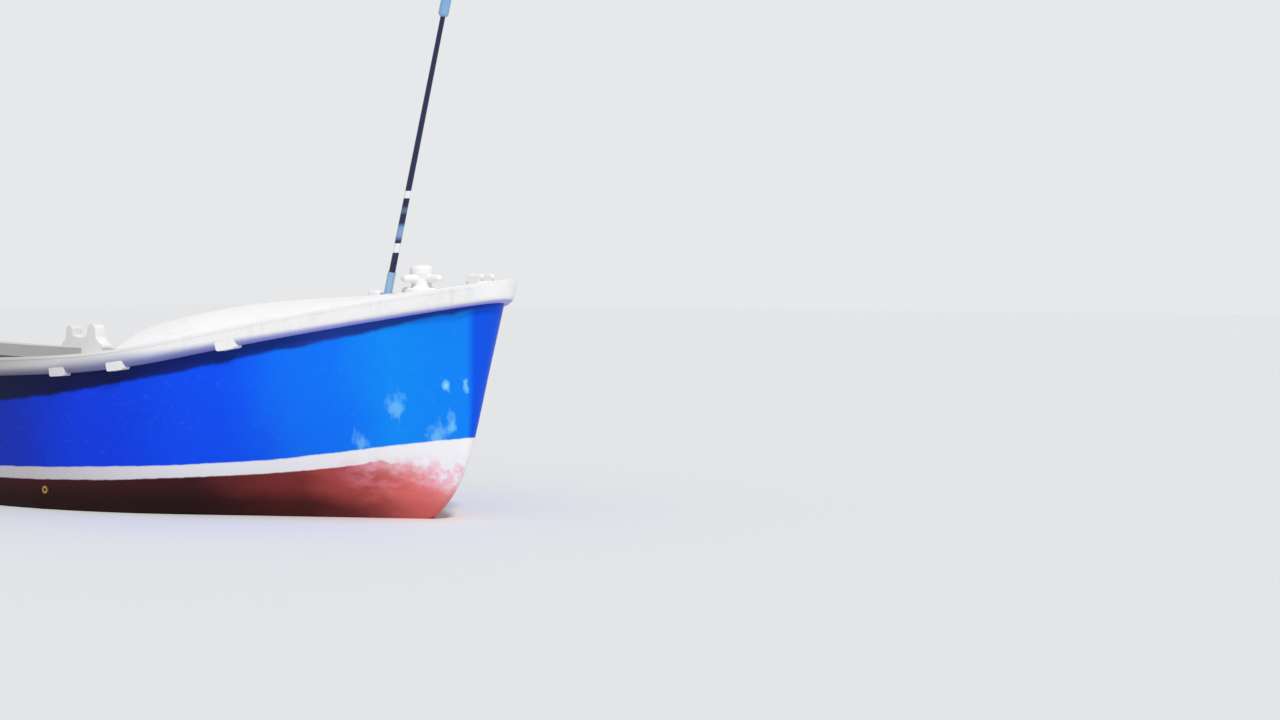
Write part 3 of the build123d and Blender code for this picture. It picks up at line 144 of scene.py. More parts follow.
class Recipe(Graph):
    """The nodes of one material."""

    coat_roughness = 0.12
    # A spot is longer along Z, and whole in this share of its size.
    spot_stretch: Point = (1.0, 1.0, 0.6)
    spot_core = 0.05

    def __init__(self, name: str) -> None:
        """Starts a material.

        Args:
            name: The material's name.
        """
        self.material = bpy.data.materials.new(name)
        self.material.use_nodes = True
        super().__init__(self.material.node_tree)
        self.shader = self.nodes["Principled BSDF"]
        self.place = self.node("ShaderNodeTexCoord").outputs["Object"]
        self.x, self.y, self.z = self.node("ShaderNodeSeparateXYZ", {0: self.place}).outputs

    def maths(self, operation: str, first: Value, second: Value = 0.0, clamp: bool = False) -> Socket:
        """One step of arithmetic.

        Args:
            operation: The step's name in Blender.
            first: The first value.
            second: The second value, if any.
            clamp: Whether the result is held between 0 and 1.

        Returns:
            The result's socket.
        """
        made = self.node("ShaderNodeMath", {0: first, 1: second}, operation=operation, use_clamp=clamp)
        return made.outputs[0]

    def plus(self, first: Value, second: Value) -> Socket:
        """The sum of two values."""
        return self.maths("ADD", first, second)

    def minus(self, first: Value, second: Value) -> Socket:
        """The first value less the second."""
        return self.maths("SUBTRACT", first, second)

    def times(self, first: Value, second: Value) -> Socket:
        """The product of two values."""
        return self.maths("MULTIPLY", first, second)

    def mix(self, share: Value, low: Union[Colour, Socket], high: Union[Colour, Socket]) -> Socket:
        """A colour between two others.

        Args:
            share: The share of the second colour.
            low: The first colour.
            high: The second colour.

        Returns:
            The colour's socket.
        """
        made = self.node("ShaderNodeMix", {0: share, 6: low, 7: high}, data_type="RGBA", clamp_factor=True)
        return made.outputs[2]

    def noise(self, pattern: Pattern) -> Socket:
        """A pattern's values, which lie about 0.5.

        Args:
            pattern: The pattern.

        Returns:
            The value's socket.
        """
        mapping = self.node("ShaderNodeMapping", {
            0: self.place, "Scale": pattern.stretch, "Location": pattern.shift})
        made = self.node("ShaderNodeTexNoise", {
            "Vector": mapping.outputs[0], "Scale": pattern.scale, "Detail": pattern.detail,
            "Roughness": pattern.roughness})
        return made.outputs[0]

    def ease(self, value: Value, span: Span) -> Socket:
        """Runs smoothly from 0 to 1 over a span.

        Args:
            value: What is measured.
            span: Where it starts and ends.

        Returns:
            The result's socket.
        """
        start, end = (1.0, 0.0) if span[0] > span[1] else (0.0, 1.0)
        made = self.node("ShaderNodeMapRange", {
            "Value": value, "From Min": min(span), "From Max": max(span), "To Min": start, "To Max": end,
        }, interpolation_type="SMOOTHSTEP")
        return made.outputs[0]

    def graph(self, value: Value, points: Line) -> Socket:
        """A result read off a smooth line.

        Args:
            value: What is looked up.
            points: The line's points, as (value, result).

        Returns:
            The result's socket.
        """
        lows = [min(column) for column in zip(*points)]
        spans = [max(column) - low for column, low in zip(zip(*points), lows)]
        scaled = [tuple((v - low) / span for v, low, span in zip(point, lows, spans)) for point in points]
        made = self.node("ShaderNodeFloatCurve")
        line = made.mapping.curves[0]
        line.points[0].location, line.points[1].location = scaled[0], scaled[-1]
        for where, result in scaled[1:-1]:
            line.points.new(where, result)
        made.mapping.update()
        share = self.maths("DIVIDE", self.minus(value, lows[0]), spans[0], clamp=True)
        self.feed(made, {"Value": share})
        return self.plus(self.times(made.outputs[0], spans[1]), lows[1])

    def ramp(self, value: Value, stops: Stops) -> Socket:
        """A colour read off a run of stops.

        Args:
            value: What is looked up.
            stops: The stops, as (value, colour).

        Returns:
            The colour's socket.
        """
        low, high = stops[0][0], stops[-1][0]
        made = self.node("ShaderNodeValToRGB")
        band = made.color_ramp
        band.interpolation = "EASE"
        while len(band.elements) < len(stops):
            band.elements.new(0.5)
        for stop, (where, colour) in zip(band.elements, stops):
            stop.position = (where - low) / (high - low)
            stop.color = (*colour, 1.0)
        share = self.maths("DIVIDE", self.minus(value, low), high - low, clamp=True)
        self.feed(made, {0: share})
        return made.outputs[0]

    def about(self, value: Socket, reach: float) -> Socket:
        """A noise from 0 to 1 as an offset of up to half the reach either way."""
        return self.times(self.minus(value, 0.5), reach)

    def spot(self, where: Point, size: float, ragged: Socket) -> Socket:
        """A soft upright patch with a ragged edge.

        Args:
            where: The patch's middle.
            size: Its size in metres.
            ragged: The noise that frays its edge.

        Returns:
            A socket that is 1 in the middle.
        """
        away = self.node("ShaderNodeVectorMath", {0: self.place, 1: where}, operation="SUBTRACT")
        upright = self.node("ShaderNodeVectorMath", {0: away.outputs[0], 1: self.spot_stretch},
                            operation="MULTIPLY")
        length = self.node("ShaderNodeVectorMath", {0: upright.outputs[0]}, operation="LENGTH")
        reach = self.plus(length.outputs["Value"], self.about(ragged, 2.0 * size))
        return self.ease(reach, (size, self.spot_core * size))

    def bump(self, height: Socket, depth: float) -> Socket:
        """A surface relief.

        Args:
            height: The relief, from 0 to 1.
            depth: How deep it is in metres.

        Returns:
            The normal's socket.
        """
        return self.node("ShaderNodeBump", {"Strength": 1.0, "Distance": depth, "Height": height}).outputs[0]

    def finish(self, colour: Union[Colour, Socket], roughness: Value, normal: Union[Socket, None] = None,
               metallic: Value = 0.0, coat: float = 0.0) -> bpy.types.Material:
        """Sets the shader.

        Args:
            colour: The base colour.
            roughness: The roughness.
            normal: The relief's normal, if any.
            metallic: How far the surface is bare metal.
            coat: The weight of a coat of varnish.

        Returns:
            The material.
        """
        self.feed(self.shader, {"Base Color": colour, "Roughness": roughness, "Metallic": metallic})
        if coat:
            self.feed(self.shader, {"Coat Weight": coat, "Coat Roughness": self.coat_roughness})
        if normal is not None:
            self.feed(self.shader, {"Normal": normal})
        return self.material


class Finish(Protocol):
    """Anything that makes a material."""

    def make(self) -> bpy.types.Material:
        """Builds the material."""


@dataclass(frozen=True)
class WeatheredWhite:
    """Old white gelcoat or paint: cloudy, with grime that gathers in streaks and specks, and greyer aft as
    painted shade.
    """

    name: str
    clean: Colour = paint(248, 247, 246)
    grime: Colour = paint(196, 196, 194)
    aft_shade_colour: Colour = paint(178, 176, 175)
    stain: Colour = paint(196, 176, 146)
    dirt: float = 0.35
    aft_shade: float = 0.75
    roughness: float = 0.42
    orange_peel: float = 0.0002
    clouds: Pattern = Pattern(5.0, 5.0, 0.6)
    streaks: Pattern = Pattern(34.0, 3.0, 0.6, stretch=(1.0, 1.0, 0.12), shift=(3.1, 0.4, 1.7))
    specks: Pattern = Pattern(120.0, 2.0, 0.5, shift=(0.7, 2.2, 5.0))
    pores: Pattern = Pattern(160.0, 2.0, 0.5)
    cloudy: Span = (0.46, 0.72)
    streaky: Span = (0.35, 0.7)
    specked: Span = (0.67, 0.74)
    # Along the boat, in metres: no painted shade ahead of the first, full painted shade aft of the second.
    aft_shade_span: Span = (1.55, 0.15)
    matt: float = 0.22

    def make(self) -> bpy.types.Material:
        """Builds the material.

        Returns:
            The material.
        """
        r = Recipe(self.name)
        colour, clouds = self._surface(r)
        rough = r.plus(r.times(clouds, self.matt), self.roughness - self.matt / 2)
        relief = r.plus(r.noise(self.pores), r.times(clouds, 2.0))
        return r.finish(colour, rough, r.bump(relief, self.orange_peel))

    def _surface(self, r: Recipe) -> tuple[Socket, Socket]:
        """The look of the surface.

        Args:
            r: The material's recipe.

        Returns:
            The colour, and the clouds that it follows.
        """
        clouds, streaks = r.noise(self.clouds), r.noise(self.streaks)
        specks = r.ease(r.noise(self.specks), self.specked)
        dirty = r.times(r.ease(clouds, self.cloudy), r.ease(streaks, self.streaky))
        # Painted shade greys the white aft.
        colour = r.mix(r.times(r.ease(r.x, self.aft_shade_span), self.aft_shade), self.clean, self.aft_shade_colour)
        colour = r.mix(r.times(dirty, self.dirt), colour, self.grime)
        return r.mix(r.times(specks, self.dirt), colour, self.stain), clouds


@dataclass(frozen=True)
class StrakeWhite(WeatheredWhite):
    """The strake's white, which turns a bluish grey on its rounded foot, as painted shade and a painted
    reflection of the blue hull.
    """

    # The strake's painted shade aft is greyer.
    aft_shade_colour: Colour = paint(148, 145, 146)
    dirt: float = 0.32
    roughness: float = 0.5
    orange_peel: float = 0.0005
    # How strongly the foot's painted shade and painted blue reflection cover the white.
    tint_share: float = 0.85
    wander: float = 0.012
    # Shares of the reach: untinted at the first, full at the second.
    fading: Span = (1.0, 0.1)
    # Colours of the foot's painted shade and painted blue reflection, along the boat.
    foot_shade_colours: Stops = (
        (0.3, paint(100, 100, 124)), (0.9, paint(90, 93, 144)), (1.4, paint(88, 98, 186)),
        (2.2, paint(140, 146, 234)))
    # The height of the strake's underside along the boat, in metres.
    underside: Line = (
        (-2.8, 0.745), (-1.8, 0.694), (-0.8, 0.66), (0.0, 0.668), (0.351, 0.682), (0.873, 0.708),
        (1.12, 0.734), (1.561, 0.812), (1.952, 0.89), (2.264, 0.95), (2.555, 1.005), (2.79, 1.049),
        (2.95, 1.079))
    # How far up the foot the painted shade reaches along the boat, in metres. It reaches highest near 1 m, as
    # the thole chock's painted shadow.
    reach: Line = (
        (-2.8, 0.042), (0.3, 0.05), (0.75, 0.062), (1.0, 0.085), (1.35, 0.064), (1.8, 0.042), (2.1, 0.028),
        (2.4, 0.02), (2.95, 0.016))

    def _surface(self, r: Recipe) -> tuple[Socket, Socket]:
        """The look of the surface, with painted shade on the rounded foot.

        Args:
            r: The material's recipe.

        Returns:
            The colour, and the clouds that it follows.
        """
        colour, clouds = super()._surface(r)
        height = r.minus(r.plus(r.z, r.about(clouds, self.wander)), r.graph(r.x, self.underside))
        low = r.ease(r.maths("DIVIDE", height, r.graph(r.x, self.reach)), self.fading)
        # The foot is tinted with painted shade and a painted reflection of the blue hull.
        return r.mix(r.times(low, self.tint_share), colour, r.ramp(r.x, self.foot_shade_colours)), clouds


@dataclass(frozen=True)
class PaintedMetal:
    """Brush-painted metal with worn spots that show an undercoat."""

    name: str
    top: Colour
    under: Colour
    wear: float = 0.3
    roughness: float = 0.38
    clouds: Pattern = Pattern(18.0, 5.0, 0.65)
    chips: Pattern = Pattern(75.0, 4.0, 0.7, shift=(1.0, 4.0, 2.0))
    strokes: Pattern = Pattern(60.0, 3.0, 0.5, stretch=(1.0, 1.0, 0.25))
    chipped: Span = (0.72, 0.76)
    # How much lower the chips start on a fully worn piece.
    chip_spread: float = 0.12
    fading: float = 0.45
    faded_shade: float = 0.72
    matt: float = 0.3
    relief: float = 0.0004

    def make(self) -> bpy.types.Material:
        """Builds the material.

        Returns:
            The material.
        """
        r = Recipe(self.name)
        clouds = r.noise(self.clouds)
        start, end = self.chipped
        chips = r.ease(r.noise(self.chips), (start - self.chip_spread * self.wear, end))
        faded = r.mix(r.times(clouds, self.fading), self.top, shaded(self.top, self.faded_shade))
        colour = r.mix(r.maths("MULTIPLY", chips, self.wear * 2.0, clamp=True), faded, self.under)
        rough = r.plus(r.times(clouds, self.matt), self.roughness - 0.4 * self.matt)
        relief = r.minus(r.noise(self.strokes), chips)
        return r.finish(colour, rough, r.bump(relief, self.relief))


class Grain(Enum):
    """The way that a timber's grain runs: its stretch along X, Y and Z."""

    ALONG = (0.05, 1.0, 1.0)
    UPRIGHT = (1.0, 1.0, 0.05)


@dataclass(frozen=True)
class Timber:
    """Oiled, varnished or painted wood, with its grain, pores and a shade for each board."""

    name: str
    light: Colour
    dark: Colour
    grain: Grain = Grain.ALONG
    # The pitch of the boards in metres, or 0 for one piece.
    board: float = 0.0
    roughness: float = 0.5
    coat: float = 0.0
    greyed: float = 0.0
    grey: Colour = paint(150, 143, 132)
    weather: Pattern = Pattern(7.0, 4.0, 0.6, shift=(5.0, 5.0, 0.0))
    banded: Span = (0.34, 0.66)
    pitted: Span = (0.62, 0.74)
    weathered: Span = (0.42, 0.68)
    board_contrast: float = 0.4
    board_shade: float = 0.55
    pore_contrast: float = 0.5
    pore_shade: float = 0.35
    pore_depth: float = 0.6
    matt: float = 0.2
    relief: float = 0.0005

    def make(self) -> bpy.types.Material:
        """Builds the material.

        Returns:
            The material.
        """
        r = Recipe(self.name)
        bands = r.noise(Pattern(26.0, 4.0, 0.6, stretch=self.grain.value))
        pores = r.noise(Pattern(240.0, 2.0, 0.5, stretch=self.grain.value, shift=(2.0, 1.0, 7.0)))
        colour = r.mix(r.ease(bands, self.banded), self.light, self.dark)
        if self.board:
            number = r.maths("FLOOR", r.maths("DIVIDE", r.plus(r.y, self.board / 2), self.board))
            darkening = r.node("ShaderNodeTexWhiteNoise", {"W": number}, noise_dimensions="1D")
            colour = r.mix(r.times(darkening.outputs["Value"], self.board_contrast), colour,
                           shaded(self.dark, self.board_shade))
        colour = r.mix(r.times(r.ease(pores, self.pitted), self.pore_contrast), colour,
                       shaded(self.dark, self.pore_shade))
        if self.greyed:
            worn = r.ease(r.noise(self.weather), self.weathered)
            colour = r.mix(r.times(worn, self.greyed), colour, self.grey)
        rough = r.plus(r.times(bands, self.matt), self.roughness - self.matt / 2)
        relief = r.minus(bands, r.times(pores, self.pore_depth))
        return r.finish(colour, rough, r.bump(relief, self.relief), coat=self.coat)


@dataclass(frozen=True)
class BareMetal:
    """Polished, brushed or cast metal with tarnish in patches."""

    name: str
    bright: Colour
    tarnish: Colour
    tarnished: float = 0.4
    roughness: float = 0.3
    relief: float = 0.0002
    patches: Pattern = Pattern(22.0, 5.0, 0.65)
    scratches: Pattern = Pattern(300.0, 2.0, 0.5, stretch=(0.2, 1.0, 1.0))
    patchy: Span = (0.4, 0.66)
    matt: float = 0.14
    tarnish_matt: float = 0.4
    tarnish_cover: float = 0.5

    def make(self) -> bpy.types.Material:
        """Builds the material.

        Returns:
            The material.
        """
        r = Recipe(self.name)
        share = r.times(r.ease(r.noise(self.patches), self.patchy), self.tarnished)
        scratches = r.noise(self.scratches)
        rough = r.plus(r.times(share, self.tarnish_matt),
                       r.plus(r.times(scratches, self.matt), self.roughness - self.matt / 2))
        metallic = r.minus(1.0, r.times(share, self.tarnish_cover))
        return r.finish(r.mix(share, self.bright, self.tarnish), rough, r.bump(scratches, self.relief),
                        metallic)


@dataclass(frozen=True)
class BandedStaff:
    """The staff's dark paint, with pale bands at set heights."""

    name: str
    dark: Colour = paint(15, 25, 66)
    pale: Colour = paint(136, 182, 222)
    white: Colour = paint(240, 242, 246)
    # Each row is (middle height, half length, half length of the band's full colour, strength, colour).
    bands: tuple[tuple[float, float, float, float, Colour], ...] = (
        (1.405, 0.048, 0.0144, 0.8, pale), (1.51, 0.022, 0.0066, 0.3, pale),
        (1.326, 0.024, 0.022, 1.0, white), (1.588, 0.019, 0.017, 1.0, white))
    clouds: Pattern = Pattern(30.0, 4.0, 0.6, stretch=(1.0, 1.0, 0.3))
    fading: float = 0.4
    faded_shade: float = 1.7
    matt: float = 0.2
    roughness: float = 0.22
    relief: float = 0.0003

    def make(self) -> bpy.types.Material:
        """Builds the material.

        Returns:
            The material.
        """
        r = Recipe(self.name)
        clouds = r.noise(self.clouds)
        colour = r.mix(r.times(clouds, self.fading), self.dark, shaded(self.dark, self.faded_shade))
        for middle, half, core, strength, paler in self.bands:
            away = r.maths("ABSOLUTE", r.minus(r.z, middle))
            colour = r.mix(r.times(r.ease(away, (half, core)), strength), colour, paler)
        rough = r.plus(r.times(clouds, self.matt), self.roughness)
        return r.finish(colour, rough, r.bump(clouds, self.relief))


@dataclass(frozen=True)
class HullPaint:
    """The hull's skin: blue topsides, a white boot stripe, a worn red bottom, and the flow coat inside, with
    painted shade aft and on the stem, painted sunlight at the bow, and a painted shadow under the strake.
    """

    name: str = "hull_paint"
    # Colours along the boat.
    # The topsides' blue: darker aft as painted shade, and lighter at the bow as painted sunlight on paint
    # that is faded there.
    blues_with_painted_light: Stops = (
        (0.2, paint(1, 42, 182)), (0.95, paint(1, 62, 234)), (1.55, paint(2, 80, 248)),
        (2.1, paint(3, 118, 252)), (2.4, paint(3, 142, 252)), (2.7, paint(3, 135, 251)))
    # The strake's painted shadow: navy, darker aft.
    strake_shadow_navies: Stops = (
        (0.35, paint(2, 6, 40)), (1.1, paint(2, 9, 58)), (1.4, paint(3, 26, 102)), (1.9, paint(6, 38, 124)),
        (2.2, paint(30, 58, 156)), (2.6, paint(24, 50, 150)))
    # The bottom's red: paler towards the bow where it is worn, and darker aft, partly as painted shade.
    reds: Stops = (
        (1.35, paint(62, 25, 28)), (1.85, paint(130, 48, 48)), (2.12, paint(180, 76, 74)),
        (2.4, paint(234, 118, 112)), (2.62, paint(248, 150, 150)))
    stem_shade_blue: Colour = paint(3, 84, 232)
    scuff: Colour = paint(140, 222, 252)
    white: Colour = paint(250, 249, 250)
    # The stripe's white aft, greyed by painted shade.
    white_shaded_aft: Colour = paint(206, 200, 204)
    blush: Colour = paint(252, 174, 198)
    sunk: Colour = paint(84, 28, 26)
    slime: Colour = shaded(sunk, 0.5)
    dark_brown: Colour = paint(32, 13, 10)
    inside: Colour = paint(176, 180, 180)
    inside_dark: Colour = shaded(inside, 0.72)
    # Heights along the boat, in metres.
    stripe_top: Line = (
        (-2.8, 0.246), (-1.8, 0.222), (-0.8, 0.211), (0.305, 0.216), (0.969, 0.239), (1.266, 0.251),
        (1.534, 0.27), (1.787, 0.288), (2.018, 0.318), (2.201, 0.344), (2.445, 0.38), (2.662, 0.405),
        (2.95, 0.43))
    stripe_foot: Line = (
        (-2.8, 0.186), (-1.8, 0.163), (-0.8, 0.152), (0.305, 0.155), (0.968, 0.172), (1.266, 0.189),
        (1.534, 0.205), (1.786, 0.223), (2.017, 0.247), (2.2, 0.272), (2.32, 0.288), (2.42, 0.262),
        (2.52, 0.215), (2.62, 0.14), (2.95, 0.04))
    # The strake's painted shadow reaches down to this height.
    strake_shadow_foot: Line = (
        (-2.8, 0.61), (-1.8, 0.57), (-0.8, 0.53), (0.0, 0.532), (0.351, 0.552), (0.873, 0.616),
        (1.12, 0.661), (1.561, 0.741), (1.952, 0.827), (2.264, 0.896), (2.555, 0.974), (2.79, 1.031),
        (2.95, 1.08))
    # Rub marks on the starboard bow: (place, size, strength).
    scuffs: tuple[tuple[Point, float, float], ...] = (
        ((2.621, -0.125, 0.656), 0.022, 1.0), ((2.701, -0.071, 0.69), 0.018, 0.8),
        ((2.703, -0.068, 0.655), 0.02, 0.8), ((2.404, -0.242, 0.562), 0.058, 0.5),
        ((2.622, -0.083, 0.51), 0.028, 0.6), ((2.618, -0.083, 0.465), 0.034, 0.6),
        ((2.551, -0.112, 0.421), 0.05, 0.5), ((2.218, -0.296, 0.384), 0.046, 0.45),
        ((2.26, -0.29, 0.38), 0.024, 0.4))
    clouds: Pattern = Pattern(3.2, 4.0, 0.55)
    fine: Pattern = Pattern(42.0, 5.0, 0.65, stretch=(0.5, 1.0, 1.0))
    grit: Pattern = Pattern(150.0, 3.0, 0.6)
    ripples: Pattern = Pattern(14.0, 3.0, 0.6)
    fraying: Pattern = Pattern(30.0, 2.0, 0.5, stretch=(1.0, 1.0, 0.6), shift=(0.0, 2.0, 9.0))
    waves: Pattern = Pattern(8.0, 4.0, 0.6, shift=(2.0, 0.0, 1.0))
    stripe_patches: Pattern = Pattern(16.0, 4.0, 0.6, shift=(4.0, 1.0, 0.0))
    wear: Pattern = Pattern(11.0, 4.0, 0.6)
    bottom_patches: Pattern = Pattern(9.0, 4.0, 0.55, stretch=(0.7, 1.0, 1.7), shift=(1.0, 6.0, 2.0))
    # Spans of a noise.
    speckled: Span = (0.56, 0.8)
    stripe_patched: Span = (0.42, 0.62)
    bottom_patched: Span = (0.4, 0.66)
    gritty: Span = (0.56, 0.75)
    slimy: Span = (0.4, 0.7)
    inside_cloudy: Span = (0.45, 0.75)
    # Spans along the boat and in height, in metres.
    stem_x: Span = (2.3, 2.5)
    stripe_shade_x: Span = (0.4, 1.8)
    stripe_rub_x: Span = (1.9, 2.4)
    stripe_rub_z: Span = (0.34, 0.24)
    stripe_worn_x: Span = (2.15, 2.45)
    bottom_rub_x: Span = (2.05, 2.4)
    bottom_rub_z: Span = (0.12, 0.22)
    darker_low_x: Span = (2.48, 1.88)
    darker_low_z: Span = (0.17, 0.03)
    slime_z: Span = (-0.01, -0.08)
    transom_x: Span = (-2.7, -2.74)
    # Spans of a part of the normal.
    looks_up: Span = (0.002, 0.006)
    looks_ahead: Span = (0.8, 0.9)
    # The stem's painted shade, a darker blue, which widens above a height.
    stem_edge: Span = (0.045, 0.01)
    stem_foot: float = 0.45
    stem_flare: float = 0.15
    # How the worn stripe's edge frays.
    fray_fine: float = 0.6
    fray_coarse: float = 1.0
    fray_depth: float = 0.12
    # How far edges and colours wander, in metres.
    edge_wander: float = 0.01
    strake_shadow_wander: float = 0.034
    colour_wander: float = 0.3
    patch_wander: float = 0.24
    waterline_wander: float = 0.03
    # Spans across an edge, in metres.
    sharp_edge: Span = (-0.004, 0.004)
    strake_shadow_edge: Span = (-0.009, 0.013)
    worn_edge: Span = (-0.05, 0.1)
    # Shares of one colour over another.
    speckle: float = 0.08
    strake_shadow_cover: float = 0.94
    stripe_blush: float = 0.7
    dark_specks: float = 0.12
    darker_low_cover: float = 0.68
    darker_low_least: float = 0.24
    specular: float = 0.12
    roughness: float = 0.26
    matt: float = 0.22
    bottom_matt: float = 0.28
    cloud_relief: float = 1.6
    relief: float = 0.0006

    def make(self) -> bpy.types.Material:
        """Builds the material.

        Returns:
            The material.
        """
        r = Recipe(self.name)
        clouds, fine, grit = r.noise(self.clouds), r.noise(self.fine), r.noise(self.grit)
        wobble = r.about(r.noise(self.ripples), self.edge_wander)
        stripe, below = self._boot_stripe(r, fine, wobble)
        over = r.ease(r.minus(r.plus(r.z, wobble), r.graph(r.x, self.stripe_top)), self.sharp_edge)
        colour = r.mix(over, stripe, self._topsides(r, clouds, fine))
        colour = r.mix(below, colour, self._bottom(r, clouds, grit))
        inside = self._inside(r)
        flow_coat = r.mix(r.ease(fine, self.inside_cloudy), self.inside, self.inside_dark)
        colour = r.mix(inside, colour, flow_coat)
        gloss = r.plus(self.roughness, r.times(fine, self.matt))
        rough = r.plus(gloss, r.times(r.maths("MAXIMUM", below, inside), self.bottom_matt))
        relief = r.plus(r.times(clouds, self.cloud_relief), r.times(grit, below))
        r.feed(r.shader, {"Specular IOR Level": self.specular})
        return r.finish(colour, rough, r.bump(relief, self.relief))

    def _topsides(self, r: Recipe, clouds: Socket, fine: Socket) -> Socket:
        """Blue with painted shade aft and painted sunlight at the bow, with rub marks, painted shade on the
        stem and a navy painted shadow under the strake.

        Args:
            r: The material's recipe.
            clouds: Wide noise.
            fine: Fine noise.

        Returns:
            The colour.
        """
        # Painted shade aft and painted sunlight at the bow.
        colour = r.ramp(r.plus(r.x, r.about(clouds, self.colour_wander)), self.blues_with_painted_light)
        colour = r.mix(r.times(r.ease(fine, self.speckled), self.speckle), colour, self.scuff)
        ragged = r.noise(self.fraying)
        for where, size, strength in self.scuffs:
            colour = r.mix(r.times(r.spot(where, size, ragged), strength), colour, self.scuff)
        # Painted shade on the stem: darker blue on both sides of it.
        wider = r.times(r.minus(r.z, self.stem_foot), self.stem_flare)
        stem_shade = r.ease(r.minus(r.maths("ABSOLUTE", r.y), wider), self.stem_edge)
        colour = r.mix(r.times(stem_shade, r.ease(r.x, self.stem_x)), colour, self.stem_shade_blue)
        # The strake's painted shadow: a navy band with a wavy foot.
        height = r.plus(r.z, r.about(r.noise(self.waves), self.strake_shadow_wander))
        band = r.ease(r.minus(height, r.graph(r.x, self.strake_shadow_foot)), self.strake_shadow_edge)
        return r.mix(r.times(band, self.strake_shadow_cover), colour, r.ramp(r.x, self.strake_shadow_navies))

    def _boot_stripe(self, r: Recipe, fine: Socket, wobble: Socket) -> tuple[Socket, Socket]:
        """The white stripe, which is worn at the bow and greyer aft as painted shade.

        Args:
            r: The material's recipe.
            fine: Fine noise.
            wobble: How far the edges wander.

        Returns:
            The stripe's colour, and how far a place lies below the stripe.
        """
        # Painted shade greys the stripe aft.
        colour = r.mix(r.ease(r.x, self.stripe_shade_x), self.white_shaded_aft, self.white)
        tint_share = r.times(r.ease(r.x, self.stripe_rub_x), r.ease(r.z, self.stripe_rub_z))
        patches = r.ease(r.noise(self.stripe_patches), self.stripe_patched)
        colour = r.mix(r.times(r.times(tint_share, patches), self.stripe_blush), colour, self.blush)
        worn = r.ease(r.x, self.stripe_worn_x)
        frayed = r.plus(r.about(fine, self.fray_fine), r.about(r.noise(self.wear), self.fray_coarse))
        ragged = r.times(frayed, r.times(worn, self.fray_depth))
        depth = r.minus(r.graph(r.x, self.stripe_foot), r.plus(r.z, r.plus(wobble, ragged)))
        sharp, soft = r.ease(depth, self.sharp_edge), r.ease(depth, self.worn_edge)
        return colour, r.node("ShaderNodeMix", {0: worn, 2: sharp, 3: soft}).outputs[0]

    def _bottom(self, r: Recipe, clouds: Socket, grit: Socket) -> Socket:
        """Bottom paint: darker aft, partly as painted shade, worn red and pink at the bow, and darker towards
        the water's edge.

        Args:
            r: The material's recipe.
            clouds: Wide noise.
            grit: The finest noise.

        Returns:
            The colour.
        """
        patches = r.noise(self.bottom_patches)
        along = r.plus(r.x, r.plus(r.about(clouds, self.colour_wander), r.about(patches, self.patch_wander)))
        colour = r.ramp(along, self.reds)
        tint_share = r.times(r.ease(r.x, self.bottom_rub_x), r.ease(r.z, self.bottom_rub_z))
        colour = r.mix(r.times(tint_share, r.ease(patches, self.bottom_patched)), colour, self.blush)
        colour = r.mix(r.times(r.ease(grit, self.gritty), self.dark_specks), colour, self.dark_brown)
        # Darker towards the water's edge, more so aft of the bow.
        low = r.plus(r.z, r.about(clouds, self.waterline_wander))
        darker_along = r.plus(self.darker_low_least, r.ease(r.x, self.darker_low_x))
        darkening = r.maths("MULTIPLY", r.ease(low, self.darker_low_z), darker_along, clamp=True)
        colour = r.mix(r.times(darkening, self.darker_low_cover), colour, self.dark_brown)
        slime = r.mix(r.ease(clouds, self.slimy), self.sunk, self.slime)
        return r.mix(r.ease(low, self.slime_z), colour, slime)

    def _inside(self, r: Recipe) -> Socket:
        """Tells the skin's inner face, which looks up or towards the bow.

        Args:
            r: The material's recipe.

        Returns:
            A socket that is 1 on the inner face.
        """
        geometry = r.node("ShaderNodeNewGeometry")
        split = r.node("ShaderNodeSeparateXYZ", {0: geometry.outputs["True Normal"]})
        up = r.ease(split.outputs[2], self.looks_up)
        ahead = r.times(r.ease(split.outputs[0], self.looks_ahead), r.ease(r.x, self.transom_x))
        return r.maths("MAXIMUM", up, ahead)


class Surface:
    """The faces of one CAD node, to set things down on."""

    def __init__(self, node: str) -> None:
        """Reads the node's faces.

        Args:
            node: The node's name.
        """
        mesh = frame["nodes"][node].data
        self.tree = BVHTree.FromPolygons([v.co for v in mesh.vertices], [p.vertices for p in mesh.polygons])

    def meet(self, start: Point, way: Point = DOWN) -> tuple[Vector, Vector]:
        """Finds where a straight line first meets the faces.

        Args:
            start: The line's start.
            way: The line's direction.

        Returns:
            The place, and the normal that looks back.

        Raises:
            ValueError: If the line meets nothing.
        """
        place, normal, _, _ = self.tree.ray_cast(Vector(start), Vector(way))
        if place is None:
            raise ValueError(f"a line from {start} meets nothing")
        if normal.dot(Vector(way)) > 0:
            normal = -normal
        return place, normal


class HeadKind(Enum):
    """Kinds of fastening head: (name, rise as a share of the radius, sides)."""

    DOME = ("dome", 0.45, 16)
    FLAT = ("flat", 0.16, 14)
    HEXAGON = ("hexagon", 0.75, 6)


@dataclass
class FasteningRow:
    """Heads of one kind that ride on one body, each a place, a normal and a radius in metres."""

    name: str
    body: str
    kind: HeadKind
    slot: str
    places: list[tuple[Vector, Vector, float]] = field(default_factory=list)

    def add(self, place: Vector, normal: Vector, radius: float) -> None:
        """Adds one head."""
        self.places.append((place, normal, radius))


